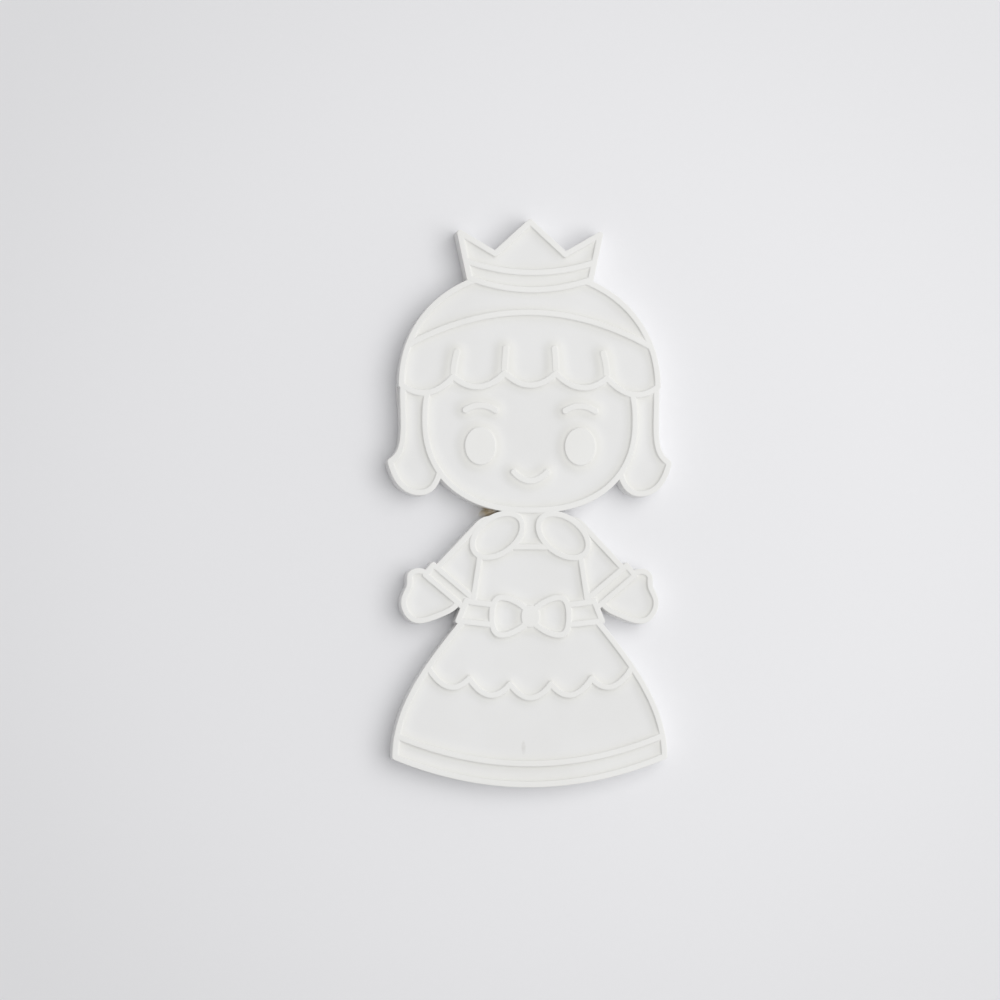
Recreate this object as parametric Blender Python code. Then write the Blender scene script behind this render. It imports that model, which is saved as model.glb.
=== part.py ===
"""A flat relief doll: a crowned child in a flared gown, lying on its back.

Front pieces are glued on one back plate. Each front piece is a shallow tray: a
flat sunken field inside a raised line of one width. Where two pieces meet, the
piece in front keeps its whole line and the piece behind is cut away round it.

The doll lies in the XY plane with its head towards +Y and its front towards +Z.
Sizes of outlines are taken to the middle of the raised line.
"""

import math

import bmesh
import bpy
import numpy as np

# Levels, from the back face upwards
PLATE_THICKNESS = 0.0020
GLUE_GAP = 0.0003
FIELD_THICKNESS = 0.0021
LINE_HEIGHT = 0.0006

# The raised line, and the seam between one front piece and the next
LINE_WIDTH = 0.00115
SEAM_GAP = 0.0003
STRAND_DROP = 0.0001

# Gown, from the hem up to the shoulders
HEM_WIDTH = 0.0500
HEM_SAG = 0.0051
HEM_BAND_HEIGHT = 0.0038
SKIRT_SHOWN = 0.0126
OVERSKIRT_LENGTH = 0.0104
OVERSKIRT_SAG = 0.0032
OVERSKIRT_SCALLOPS = 5
OVERSKIRT_SCALLOP_DEPTH = 0.0024
WAIST_WIDTH = 0.0218
BODICE_HEIGHT = 0.0170
SHOULDER_WIDTH = 0.0176

# Sash and bow
SASH_HEIGHT = 0.0036
SASH_SAG = 0.0010
SASH_OVERHANG = 0.0010
BOW_WIDTH = 0.0136
BOW_HEIGHT = 0.0066
KNOT_WIDTH = 0.0034
KNOT_HEIGHT = 0.0040
KNOT_ROUNDNESS = 2.4

# Neck and collar
NECK_SHOWN = 0.0016
NECKLINE_WIDTH = 0.0060
COLLAR_LENGTH = 0.0104
COLLAR_DEPTH = 0.0066
COLLAR_GAP = 0.0030
COLLAR_DROP = 0.0031
COLLAR_TILT = math.radians(36)

# Sleeves, cuffs and hands, set along each arm from the shoulder outwards
ARM_SLOPE = math.radians(-50)
ARM_INSET = 0.0016
SLEEVE_LENGTH = 0.0120
SLEEVE_TOP_WIDTH = 0.0070
SLEEVE_END_WIDTH = 0.0084
CUFF_WIDTH = 0.0100
CUFF_DEPTH = 0.0024
HAND_LENGTH = 0.0080
HAND_WIDTH = 0.0068
HAND_TURN = math.radians(28)
THUMB_LENGTH = 0.0024

# Eyes, brows and mouth, set upwards from the chin
EYE_SPACING = 0.0186
EYE_ABOVE_CHIN = 0.0118
EYE_WIDTH = 0.0058
EYE_HEIGHT = 0.0070
BROW_ABOVE_EYE = 0.0031
BROW_LENGTH = 0.0056
BROW_RISE = 0.0009
MOUTH_ABOVE_CHIN = 0.0054
MOUTH_WIDTH = 0.0062
MOUTH_DEPTH = 0.0016

# Head and hair, set upwards from the brows
HEAD_WIDTH = 0.0478
HEAD_ROUNDNESS = 2.15
FACE_INSET = 0.0043
FACE_ROUNDNESS = 2.3
CHIN_DROP = 0.0010
FRINGE_ABOVE_BROW = 0.0046
FRINGE_END_HEIGHT = 0.0074
FRINGE_EDGE_ARCH = 0.0024
FRINGE_TOP_ARCH = 0.0062
FRINGE_SCALLOPS = 5
FRINGE_SCALLOP_DEPTH = 0.0023
STRAND_LENGTH = 0.0046
HAIR_STRIP = 0.0042
LOCK_REACH = 0.0021
LOCK_TIP_ABOVE_CHIN = 0.0088
LOCK_CURL = 0.0064

# Crown
CROWN_SEAT = 0.0034
CROWN_BASE_WIDTH = 0.0226
CROWN_TIP_WIDTH = 0.0262
CROWN_BASE_SAG = 0.0020
CROWN_BAND_HEIGHT = 0.0032
CROWN_VALLEY_RISE = 0.0014
CROWN_POINT_HEIGHT = 0.0060
CROWN_SIDE_DROP = 0.0022

# How finely curves are stepped, and how far a cutter runs past what it cuts
CURVE_STEP = 0.0016
LEAST_STEPS = 8
CORNER = math.radians(20)
CORNER_STEP = math.radians(24)
SHARP = math.radians(50)
OVERCUT = 0.0005
SAME_POINT = 1e-7

# Worked-out levels
FIELD_BASE = PLATE_THICKNESS + GLUE_GAP
FIELD = FIELD_BASE + FIELD_THICKNESS
LINE_TOP = FIELD + LINE_HEIGHT
HALF_LINE = LINE_WIDTH / 2

# Worked-out heights along the body, counted from the hem's lowest line
HEM_CORNER = HEM_SAG
HEM_BAND_TOP = HEM_CORNER + HEM_BAND_HEIGHT
OVERSKIRT_EDGE = HEM_BAND_TOP + SKIRT_SHOWN
WAIST = OVERSKIRT_EDGE + OVERSKIRT_LENGTH
SHOULDER = WAIST + BODICE_HEIGHT
CHIN = SHOULDER + NECK_SHOWN
EYE_LEVEL = CHIN + EYE_ABOVE_CHIN
BROW_LEVEL = EYE_LEVEL + EYE_HEIGHT / 2 + BROW_ABOVE_EYE
FRINGE_EDGE = BROW_LEVEL + FRINGE_ABOVE_BROW
FRINGE_END = FRINGE_EDGE + FRINGE_END_HEIGHT
FRINGE_TOP = FRINGE_END + FRINGE_TOP_ARCH
CROWN_BASE = FRINGE_TOP + HAIR_STRIP
HEAD_TOP = CROWN_BASE + CROWN_SEAT
CROWN_BAND_TOP = CROWN_BASE + CROWN_BAND_HEIGHT
CROWN_VALLEY = CROWN_BAND_TOP + CROWN_BASE_SAG + CROWN_VALLEY_RISE
CROWN_TOP = CROWN_VALLEY + CROWN_POINT_HEIGHT

# Half of the length, which puts the origin in the middle of the back
MIDDLE = CROWN_TOP / 2

HEAD_HALF = (HEAD_TOP - CHIN - CHIN_DROP) / 2
HEAD_MIDDLE = HEAD_TOP - HEAD_HALF
FACE_WIDTH = HEAD_WIDTH - 2 * FACE_INSET


def steps_for(length):
    """Number of steps that keeps a curve of this length near CURVE_STEP."""
    return max(LEAST_STEPS, int(round(length / CURVE_STEP)))


def closed(*rows):
    """Rows joined end to end into one anticlockwise ring with no repeated points."""
    ring = np.concatenate(rows)
    gap = np.hypot(*(np.roll(ring, -1, axis=0) - ring).T)
    ring = ring[gap > SAME_POINT]
    x, y = ring.T
    turn = np.sum(x * np.roll(y, -1) - np.roll(x, -1) * y)
    return ring if turn > 0 else ring[::-1]


def superellipse(middle, width, height, power=2.0, start=0.0, end=2 * math.pi):
    """Row along |x/a|^p + |y/b|^p = 1 from one angle to another, anticlockwise."""
    count = 2 * steps_for((width + height) * (end - start) / 8)
    turn = np.linspace(start, end, count + 1)
    across = np.cos(turn)
    along = np.sin(turn)
    return np.stack([
        middle[0] + width / 2 * np.sign(across) * np.abs(across) ** (2 / power),
        middle[1] + height / 2 * np.sign(along) * np.abs(along) ** (2 / power)], axis=1)


def ellipse(middle, width, height, power=2.0):
    """Closed ring of a superellipse."""
    return closed(superellipse(middle, width, height, power)[:-1])


def spline(points):
    """Closed cubic B-spline that follows a ring of control points."""
    points = np.asarray(points, dtype=float)
    spans = np.hypot(*(np.roll(points, -1, axis=0) - points).T)
    rows = []
    for start, span in enumerate(spans):
        t = np.linspace(0, 1, steps_for(span) // 2, endpoint=False)[:, None]
        weights = ((1 - t) ** 3, 3 * t ** 3 - 6 * t ** 2 + 4,
                   -3 * t ** 3 + 3 * t ** 2 + 3 * t + 1, t ** 3)
        near = np.roll(points, 1 - start, axis=0)
        rows.append(sum(weight * near[k] for k, weight in enumerate(weights)) / 6)
    return closed(*rows)


def arch(half, level, rise, start=-1.0):
    """Row of a parabola over -half to +half that stands rise above level in the middle.

    A start other than -1 leaves out the stretch before that share of half.
    """
    t = np.linspace(start, 1, steps_for(half * (1 - start)) + 1)
    return np.stack([half * t, level + rise * (1 - t ** 2)], axis=1)


def scallops(half, level, rise, count, depth):
    """Row from -half to +half along an arch, with parabolic lobes hanging below it."""
    along = np.linspace(0, count, count * LEAST_STEPS + 1)
    t = 2 * along / count - 1
    drop = 1 - (2 * (along % 1) - 1) ** 2
    return np.stack([half * t, level + rise * (1 - t ** 2) - depth * drop], axis=1)


def side_row(half_width, low, high):
    """Right-hand side from low to high, half_width being a function of the height."""
    height = np.linspace(low, high, steps_for(high - low) + 1)
    return np.stack([half_width(height), height], axis=1)


def mirrored(points):
    """The same points reflected in the doll's middle line."""
    return points * (-1, 1)


def both_sides(ring):
    """The right-hand ring and its reflection on the left, each with its side's name."""
    return ("right", ring), ("left", closed(mirrored(ring)))


def strip(lower, upper):
    """Ring between two rows that both run from left to right."""
    return closed(lower, upper[::-1])


def turned(points, angle):
    """Points turned anticlockwise about the origin."""
    across = np.array((math.cos(angle), math.sin(angle)))
    along = np.array((-across[1], across[0]))
    return points[:, :1] * across + points[:, 1:] * along


def distance_to(ring, points):
    """Shortest distance from each point to the ring's edges."""
    edge = np.roll(ring, -1, axis=0) - ring
    away = points[:, None] - ring[None]
    share = np.sum(away * edge, axis=2) / np.sum(edge ** 2, axis=1)
    foot = away - np.clip(share, 0, 1)[..., None] * edge
    return np.hypot(foot[..., 0], foot[..., 1]).min(axis=1)


def offset(ring, distance):
    """Ring moved outwards by a distance, or inwards where it is negative.

    Each point moves along its mitre. On the outer side of a sharp bend it becomes
    an arc, and points that land nearer the ring than the distance are left out.
    """
    edge = np.roll(ring, -1, axis=0) - ring
    facing = np.arctan2(edge[:, 1], edge[:, 0]) - math.pi / 2
    before = np.roll(facing, 1)
    bend = (facing - before + math.pi) % (2 * math.pi) - math.pi
    moved = []
    for point, start, angle in zip(ring, before, bend):
        if angle * distance > CORNER * abs(distance):
            fan = start + np.linspace(0, angle, int(abs(angle) / CORNER_STEP) + 2)
            reach = distance
        else:
            fan = start + np.array([angle / 2])
            reach = distance / math.cos(angle / 2)
        moved.append(point + reach * np.stack([np.cos(fan), np.sin(fan)], axis=1))
    moved = np.concatenate(moved)
    clear = distance_to(ring, moved) > abs(distance) - LINE_WIDTH / 100
    return closed(moved[clear])


def stroke(path):
    """Ring of a raised line along an open path, with round ends."""
    heading = np.gradient(path, axis=0)
    heading /= np.hypot(*heading.T)[:, None]
    left = np.stack([-heading[:, 1], heading[:, 0]], axis=1)
    turn = np.linspace(0, math.pi, LEAST_STEPS + 1)[1:-1, None]
    last = path[-1] + HALF_LINE * (left[-1] * np.cos(turn) + heading[-1] * np.sin(turn))
    first = path[0] - HALF_LINE * (left[0] * np.cos(turn) + heading[0] * np.sin(turn))
    return closed(path + left * HALF_LINE, last, (path - left * HALF_LINE)[::-1], first)


def prism(name, ring, low, high):
    """Upright solid over a ring between two levels, with its origin in its foot's middle."""
    centre = (ring.min(axis=0) + ring.max(axis=0)) / 2
    shape = bmesh.new()
    foot = shape.faces.new([shape.verts.new((x, y, 0)) for x, y in ring - centre])
    raised = bmesh.ops.extrude_face_region(shape, geom=[foot])["geom"]
    top = [item for item in raised if isinstance(item, bmesh.types.BMVert)]
    bmesh.ops.translate(shape, verts=top, vec=(0, 0, high - low))
    bmesh.ops.recalc_face_normals(shape, faces=shape.faces)
    mesh = bpy.data.meshes.new(name)
    shape.to_mesh(mesh)
    shape.free()
    made = bpy.data.objects.new(name, mesh)
    made.location = (centre[0], centre[1] - MIDDLE, low)
    bpy.context.collection.objects.link(made)
    return made


def piece(name, ring, low, high):
    """Solid of bare off-white plastic, matt."""
    made = prism(name, ring, low, high)
    material = bpy.data.materials.new(name)
    material.use_nodes = True
    shader = material.node_tree.nodes["Principled BSDF"]
    shader.inputs["Base Color"].default_value = (0.80, 0.80, 0.78, 1)
    shader.inputs["Roughness"].default_value = 0.6
    shader.inputs["Metallic"].default_value = 0
    made.data.materials.append(material)
    return made


def tool(name, ring, low, high):
    """Cutter or filler that shapes a piece and is not a piece itself."""
    made = prism(name, ring, low, high)
    made.hide_render = True
    made.display_type = "WIRE"
    return made


def shape_with(made, operand, operation):
    """Boolean of a piece with a tool."""
    step = made.modifiers.new(operand.name, "BOOLEAN")
    step.operation = operation
    step.solver = "EXACT"
    step.object = operand


# The ring of each front piece, and the tool that clears room for it
RINGS = {}
CLEARERS = {}


def clearer(name):
    """Tool that cuts a front piece and its seam out of a piece behind it."""
    if name not in CLEARERS:
        ring = offset(RINGS[name], HALF_LINE + SEAM_GAP)
        CLEARERS[name] = tool(name + "_clear", ring, FIELD_BASE - OVERCUT, LINE_TOP + OVERCUT)
    return CLEARERS[name]


def tray(name, ring, behind=(), strands=()):
    """Front piece: a sunken field inside a raised line, cut round what lies before it."""
    RINGS[name] = ring
    made = piece(name, offset(ring, HALF_LINE), FIELD_BASE, LINE_TOP)
    well = tool(name + "_well", offset(ring, -HALF_LINE), FIELD, LINE_TOP + OVERCUT)
    shape_with(made, well, "DIFFERENCE")
    for number, path in enumerate(strands, start=1):
        strand = tool(f"{name}_strand_{number}", stroke(path), FIELD - OVERCUT, LINE_TOP - STRAND_DROP)
        shape_with(made, strand, "UNION")
    for front in behind:
        shape_with(made, clearer(front), "DIFFERENCE")


def pad(name, ring, low=FIELD + GLUE_GAP):
    """Small raised piece with no field of its own, as high as the lines, smooth round its side."""
    mesh = piece(name, ring, low, LINE_TOP).data
    mesh.shade_smooth()
    mesh.set_sharp_from_angle(angle=SHARP)


def head_half_width(height):
    """Half width of the head's outline at a height."""
    share = np.abs((height - HEAD_MIDDLE) / HEAD_HALF) ** HEAD_ROUNDNESS
    return HEAD_WIDTH / 2 * np.maximum(0, 1 - share) ** (1 / HEAD_ROUNDNESS)


def gown_half_width(height):
    """Half width of the gown: a quarter sine from the waist out to the hem."""
    share = np.clip((WAIST - height) / (WAIST - HEM_CORNER), 0, 1)
    return WAIST_WIDTH / 2 + (HEM_WIDTH - WAIST_WIDTH) / 2 * np.sin(math.pi / 2 * share)


def add_crown():
    """Band across the hair and the pointed crown standing behind it."""
    half = CROWN_BASE_WIDTH / 2
    tip = CROWN_TIP_WIDTH / 2
    side_foot = CROWN_BASE + CROWN_BASE_SAG
    side_top = CROWN_TOP - CROWN_SIDE_DROP
    flare = (tip - half) / (side_top - side_foot)

    def row_above(rise):
        """Row across the band that hangs in the middle, at a rise above the band's foot."""
        return arch(half + flare * rise, side_foot + rise, -CROWN_BASE_SAG)

    tray("crown_band", strip(row_above(0), row_above(CROWN_BAND_HEIGHT)))

    hidden = row_above(CROWN_BAND_HEIGHT / 2)
    right = np.array([(tip, side_top), (tip / 2, CROWN_VALLEY)])
    peak = np.array([(0, CROWN_TOP)])
    tray("crown", closed(hidden, right, peak, mirrored(right)[::-1]), behind=["crown_band"])


def add_fringe():
    """Scalloped fringe across the head, with a strand rising from each cusp."""
    edge = float(head_half_width(FRINGE_EDGE))
    end = float(head_half_width(FRINGE_END))
    side = side_row(head_half_width, FRINGE_EDGE, FRINGE_END)
    lower = scallops(edge, FRINGE_EDGE, FRINGE_EDGE_ARCH, FRINGE_SCALLOPS, FRINGE_SCALLOP_DEPTH)
    upper = arch(end, FRINGE_END, FRINGE_TOP_ARCH)
    rise = np.linspace(0, STRAND_LENGTH, LEAST_STEPS)
    strands = []
    for cusp in np.linspace(-1, 1, FRINGE_SCALLOPS + 1)[1:-1]:
        foot = FRINGE_EDGE + FRINGE_EDGE_ARCH * (1 - cusp ** 2)
        lean = cusp * rise ** 2 / (4 * STRAND_LENGTH)
        strands.append(np.stack([cusp * edge - lean, foot + rise], axis=1))
    tray("fringe", closed(lower, side, upper[::-1], mirrored(side)[::-1]), strands=strands)


def add_face():
    """Face with its eyes, brows and mouth."""
    face_top = FRINGE_TOP - FRINGE_TOP_ARCH / 2
    face = ellipse((0, (CHIN + face_top) / 2), FACE_WIDTH, face_top - CHIN, FACE_ROUNDNESS)
    tray("face", face, behind=["fringe"])

    eye = ellipse((EYE_SPACING / 2, EYE_LEVEL), EYE_WIDTH, EYE_HEIGHT)
    brow = stroke(arch(BROW_LENGTH / 2, BROW_LEVEL, BROW_RISE) + (EYE_SPACING / 2, 0))
    for side, ring in both_sides(eye):
        pad(f"{side}_eye", ring)
    for side, ring in both_sides(brow):
        pad(f"{side}_brow", ring)
    smile = arch(MOUTH_WIDTH / 2, CHIN + MOUTH_ABOVE_CHIN + MOUTH_DEPTH, -MOUTH_DEPTH)
    pad("mouth", stroke(smile))


def add_hair():
    """Side locks that flick out below the head, and the cap of hair under the crown."""
    edge = float(head_half_width(FRINGE_EDGE))
    tip = HEAD_WIDTH / 2 + LOCK_REACH
    level = CHIN + LOCK_TIP_ABOVE_CHIN
    inner = FACE_WIDTH / 2 - LOCK_CURL / 2
    lock = spline([
        (edge - LINE_WIDTH, FRINGE_END), (edge, FRINGE_EDGE),
        (edge - HALF_LINE, level + LOCK_CURL), (edge, level + LOCK_CURL / 4),
        (tip, level), (tip, level),
        (tip - LOCK_CURL / 4, level - LOCK_CURL * 3 / 4), (inner + LOCK_CURL / 2, level - LOCK_CURL),
        (inner, level - LOCK_CURL / 2), (inner, level + LOCK_CURL), (inner, FRINGE_END)])
    for side, ring in both_sides(lock):
        tray(f"{side}_lock", ring, behind=["fringe", "face"])

    hidden = (FRINGE_END + FRINGE_EDGE) / 2
    start = math.asin(((hidden - HEAD_MIDDLE) / HEAD_HALF) ** (HEAD_ROUNDNESS / 2))
    dome = superellipse((0, HEAD_MIDDLE), HEAD_WIDTH, 2 * HEAD_HALF, HEAD_ROUNDNESS, start, math.pi - start)
    tray("hair_cap", closed(dome), behind=["fringe", "crown_band", "crown"])


def add_bow():
    """Knot, bow loops and the sash ends that show beside them."""
    level = WAIST - SASH_SAG
    knot = ellipse((0, level), KNOT_WIDTH, KNOT_HEIGHT, KNOT_ROUNDNESS)
    RINGS["knot"] = offset(knot, -HALF_LINE)
    pad("knot", knot, low=FIELD_BASE)

    end = BOW_WIDTH / 2
    top = BOW_HEIGHT / 2
    loop = spline([
        (0, level - KNOT_HEIGHT / 4), (end / 2, level - top), (end, level - top - HALF_LINE),
        (end + HALF_LINE, level), (end, level + top + HALF_LINE), (end / 2, level + top),
        (0, level + KNOT_HEIGHT / 4)])
    for side, ring in both_sides(loop):
        tray(f"{side}_bow_loop", ring, behind=["knot"])

    upper_level = WAIST + SASH_HEIGHT / 2
    lower_level = WAIST - SASH_HEIGHT / 2
    upper_half = WAIST_WIDTH / 2 + SASH_OVERHANG
    lower_half = float(gown_half_width(lower_level)) + SASH_OVERHANG
    hidden = BOW_WIDTH / 4
    upper = arch(upper_half, upper_level, -SASH_SAG, hidden / upper_half)
    lower = arch(lower_half, lower_level, -SASH_SAG, hidden / lower_half)
    for side, ring in both_sides(strip(lower, upper)):
        tray(f"{side}_sash", ring, behind=[f"{side}_bow_loop"])


def add_bodice():
    """Collar, bodice and the neck behind them."""
    collar = turned(ellipse((0, 0), COLLAR_LENGTH, COLLAR_DEPTH), -COLLAR_TILT)
    collar += (COLLAR_GAP / 2 - collar[:, 0].min(), SHOULDER - COLLAR_DROP)
    for side, ring in both_sides(collar):
        tray(f"{side}_collar", ring, behind=["face"])

    right = np.array([
        (WAIST_WIDTH / 2, WAIST), (SHOULDER_WIDTH / 2, SHOULDER - COLLAR_DROP),
        (NECKLINE_WIDTH / 2, SHOULDER - COLLAR_LENGTH / 2)])
    tray("bodice", closed(right, mirrored(right)[::-1]), behind=[
        "face", "right_collar", "left_collar", "right_sash", "left_sash",
        "right_bow_loop", "left_bow_loop", "knot"])

    half = collar[collar[:, 1].argmax(), 0] - HALF_LINE
    right = np.array([(half, SHOULDER - COLLAR_LENGTH), (half, CHIN + FACE_INSET)])
    tray("neck", closed(right, mirrored(right)[::-1]), behind=[
        "face", "right_collar", "left_collar", "bodice"])


def add_skirt():
    """Scalloped overskirt, hem band and the plain skirt between them."""
    side = side_row(gown_half_width, OVERSKIRT_EDGE, WAIST)
    lower = scallops(side[0, 0], OVERSKIRT_EDGE, -OVERSKIRT_SAG, OVERSKIRT_SCALLOPS, OVERSKIRT_SCALLOP_DEPTH)
    tray("overskirt", closed(lower, side, mirrored(side)[::-1]), behind=[
        "right_sash", "left_sash", "right_bow_loop", "left_bow_loop", "knot"])

    side = side_row(gown_half_width, HEM_CORNER, HEM_BAND_TOP)
    hem = arch(side[0, 0], HEM_CORNER, -HEM_SAG)
    upper = arch(side[-1, 0], HEM_BAND_TOP, -HEM_SAG)
    tray("hem_band", closed(hem, side, upper[::-1], mirrored(side)[::-1]))

    hidden_foot = (HEM_CORNER + HEM_BAND_TOP) / 2
    hidden_top = (OVERSKIRT_EDGE + WAIST) / 2
    side = side_row(gown_half_width, hidden_foot, hidden_top)
    lower = arch(side[0, 0], hidden_foot, -HEM_SAG)
    tray("skirt", closed(lower, side, mirrored(side)[::-1]), behind=["overskirt", "hem_band"])


def add_arms():
    """Cuffs, sleeves and hands on both sides."""
    root = np.array((SHOULDER_WIDTH / 2 - ARM_INSET, SHOULDER - SLEEVE_TOP_WIDTH / 2))
    half = CUFF_WIDTH / 2
    near = SLEEVE_LENGTH - CUFF_DEPTH / 2
    far = SLEEVE_LENGTH + CUFF_DEPTH / 2
    cuff = np.array([(near, -half), (far, -half), (far, half), (near, half)])
    for side, ring in both_sides(closed(root + turned(cuff, ARM_SLOPE))):
        tray(f"{side}_cuff", ring, behind=["bodice", f"{side}_sash"])

    end = SLEEVE_END_WIDTH / 2
    shoulder = superellipse((0, 0), SLEEVE_TOP_WIDTH, SLEEVE_TOP_WIDTH, 2, math.pi / 2, 1.5 * math.pi)
    wrist = np.array([(SLEEVE_LENGTH, -end), (SLEEVE_LENGTH, end)])
    sleeve = turned(np.concatenate([shoulder, wrist]), ARM_SLOPE)
    for side, ring in both_sides(closed(root + sleeve)):
        tray(f"{side}_sleeve", ring, behind=["bodice", f"{side}_collar", f"{side}_cuff", "face"])

    palm = HAND_WIDTH / 2
    thumb = palm + THUMB_LENGTH
    third = HAND_LENGTH / 3
    hand = spline([
        (-CUFF_DEPTH, -palm), (third, -palm), (HAND_LENGTH, -palm), (HAND_LENGTH + HALF_LINE, palm / 2),
        (2 * third, palm), (2 * third, thumb), (third, thumb), (third / 2, palm), (-CUFF_DEPTH, palm)])
    hand = turned(turned(hand, HAND_TURN) + (far, 0), ARM_SLOPE)
    for side, ring in both_sides(closed(root + hand)):
        tray(f"{side}_hand", ring, behind=[f"{side}_cuff", "overskirt", "skirt"])


def add_back_plate():
    """Plate under everything, with the outline of all the outer pieces together."""
    side = side_row(gown_half_width, HEM_CORNER, WAIST)
    gown = closed(arch(side[0, 0], HEM_CORNER, -HEM_SAG), side, mirrored(side)[::-1])
    head = ellipse((0, HEAD_MIDDLE), HEAD_WIDTH, 2 * HEAD_HALF, HEAD_ROUNDNESS)
    blanks = {"head": head}
    for name in ("bodice", "neck", "face", "crown_band", "crown"):
        blanks[name] = RINGS[name]
    for part in ("sash", "collar", "sleeve", "cuff", "hand", "lock"):
        for side_name in ("right", "left"):
            blanks[f"{side_name}_{part}"] = RINGS[f"{side_name}_{part}"]
    plate = piece("back_plate", offset(gown, HALF_LINE), 0, PLATE_THICKNESS)
    for name, ring in blanks.items():
        blank = tool(name + "_blank", offset(ring, HALF_LINE), 0, PLATE_THICKNESS)
        shape_with(plate, blank, "UNION")


def main():
    """Clear the scene and add the pieces, those in front before those behind them."""
    for old in list(bpy.data.objects):
        bpy.data.objects.remove(old, do_unlink=True)
    add_crown()
    add_fringe()
    add_face()
    add_hair()
    add_bow()
    add_bodice()
    add_skirt()
    add_arms()
    add_back_plate()


main()
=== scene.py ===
"""Looks of a flat relief doll: a crowned child in a flared gown, lying on its back.

Every front piece is one surface: the profile of a raised line carried round the
piece's outline, closed by a sunken field in front and a flat foot behind. Fields rise
a little towards the lines round them. A piece that lies behind another runs on under
it, pressed down just below the level of its field, so lines of one height meet flush
and no seam shows, as on one casting.

The doll lies in the XY plane with its head towards +Y and its front towards +Z.
Sizes of outlines are taken to the middle of the raised line.
"""

import math
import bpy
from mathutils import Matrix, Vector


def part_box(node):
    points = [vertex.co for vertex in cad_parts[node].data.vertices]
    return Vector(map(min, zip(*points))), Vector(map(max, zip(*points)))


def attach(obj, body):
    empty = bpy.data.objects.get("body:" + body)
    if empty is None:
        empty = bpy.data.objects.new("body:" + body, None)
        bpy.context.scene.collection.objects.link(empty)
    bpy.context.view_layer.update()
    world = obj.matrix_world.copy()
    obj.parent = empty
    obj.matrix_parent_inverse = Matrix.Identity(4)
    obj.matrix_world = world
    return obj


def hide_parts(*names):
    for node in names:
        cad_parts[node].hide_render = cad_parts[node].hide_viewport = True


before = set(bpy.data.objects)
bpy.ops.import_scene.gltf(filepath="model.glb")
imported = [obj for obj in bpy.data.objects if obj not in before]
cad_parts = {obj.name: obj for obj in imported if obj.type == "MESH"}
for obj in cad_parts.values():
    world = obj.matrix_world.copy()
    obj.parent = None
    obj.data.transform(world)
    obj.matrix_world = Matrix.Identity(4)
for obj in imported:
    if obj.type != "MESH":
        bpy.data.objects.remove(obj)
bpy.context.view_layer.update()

from types import SimpleNamespace

import bmesh
import bpy
import numpy as np
from bpy.props import FloatProperty, FloatVectorProperty, IntProperty, PointerProperty
from bpy.types import Operator, Panel, PropertyGroup
from mathutils import Matrix, Vector
from mathutils.geometry import delaunay_2d_cdt

bl_info = {
    "name": "Relief Doll",
    "version": (1, 0, 0),
    "blender": (4, 5, 0),
    "location": "3D View > Sidebar > Relief Doll",
    "description": "Adds the finished pieces of an unpainted relief doll and a stage for it",
    "category": "Add Mesh",
}

BODY = "root"
SIDES = ("right", "left")

# How finely curves, fields and roundings are stepped, and which bends count as corners
CURVE_STEP = 0.0002
FIELD_STEP = 0.00025
CELL = 0.0001
LEAST_STEPS = 6
ARC_STEPS = 5
DOME_STEPS = 20
CORNER = math.radians(20)
FAN_STEP = math.radians(12)
SHARP = math.radians(42)
SAME_POINT = 1e-7
MILLIMETRE = 0.001

# Share of its offset at which a moved point still counts as clear of its own outline
CLEAR_SHARE = 0.99

# Where hiding begins under a line in front and how far it takes, as shares of the line's width
HIDING_START = 0.2
HIDING_SPAN = 0.55

# Room round the doll in the height map of its fields, in reaches of their rise
RISE_MARGIN = 4

# Rim of the flat back in radii of its rounding, and width of the dried drop in reaches of the stain
BACK_RIM = 1.5
DROP_WIDTH = 1.6

# Scale and detail of the noises in the finishes
CLOUDS = (70.0, 4.0)
PATCHES = (900.0, 3.0)
SWELL = (160.0, 2.0)
GRAIN = (2600.0, 2.0)

# Stretch of each noise that counts, the least of the patches, and how far clouds change the roughness
CLOUD_RANGE = (0.35, 0.65)
PATCH_RANGE = (0.35, 0.60)
LEAST_PATCH = 0.50
ROUGHNESS_SPREAD = 0.05
SWELL_BUMP = {"Strength": 0.35, "Distance": 0.00006}
GRAIN_BUMP = {"Strength": 0.30, "Distance": 0.00001}
PLASTIC_IOR = 1.46

# Share of its reach within which a mark is at its fullest
FULL_MARK = 0.5

# Floor's unevenness and roughness, and the camera's film width and clipping, in millimetres and metres
FLOOR_SPECK = 0.15
FLOOR_ROUGHNESS = 0.75
FILM_WIDTH = 36.0
CLIPPING = (0.01, 20.0)

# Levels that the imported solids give
PLATE_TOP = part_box("back_plate")[1].z
FRONT_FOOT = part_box("face")[0].z
LINE_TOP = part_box("face")[1].z
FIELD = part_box("mouth")[0].z - (FRONT_FOOT - PLATE_TOP)
JOINT = (PLATE_TOP + FRONT_FOOT) / 2


def size(name, text, default):
    """A length that a user may change, in metres."""
    return FloatProperty(name=name, description=text, default=default, precision=5, unit="LENGTH")


def angle(name, text, degrees):
    """An angle that a user may change."""
    return FloatProperty(name=name, description=text, default=math.radians(degrees), subtype="ANGLE")


def share(name, text, default):
    """A plain number that a user may change."""
    return FloatProperty(name=name, description=text, default=default, min=0)


def colour(name, text, default):
    """A colour that a user may change."""
    return FloatVectorProperty(name=name, description=text, default=default, subtype="COLOR", min=0, max=1)


def place(name, text, default):
    """A point that a user may change, in metres."""
    return FloatVectorProperty(name=name, description=text, default=default, subtype="XYZ", unit="LENGTH")


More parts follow.
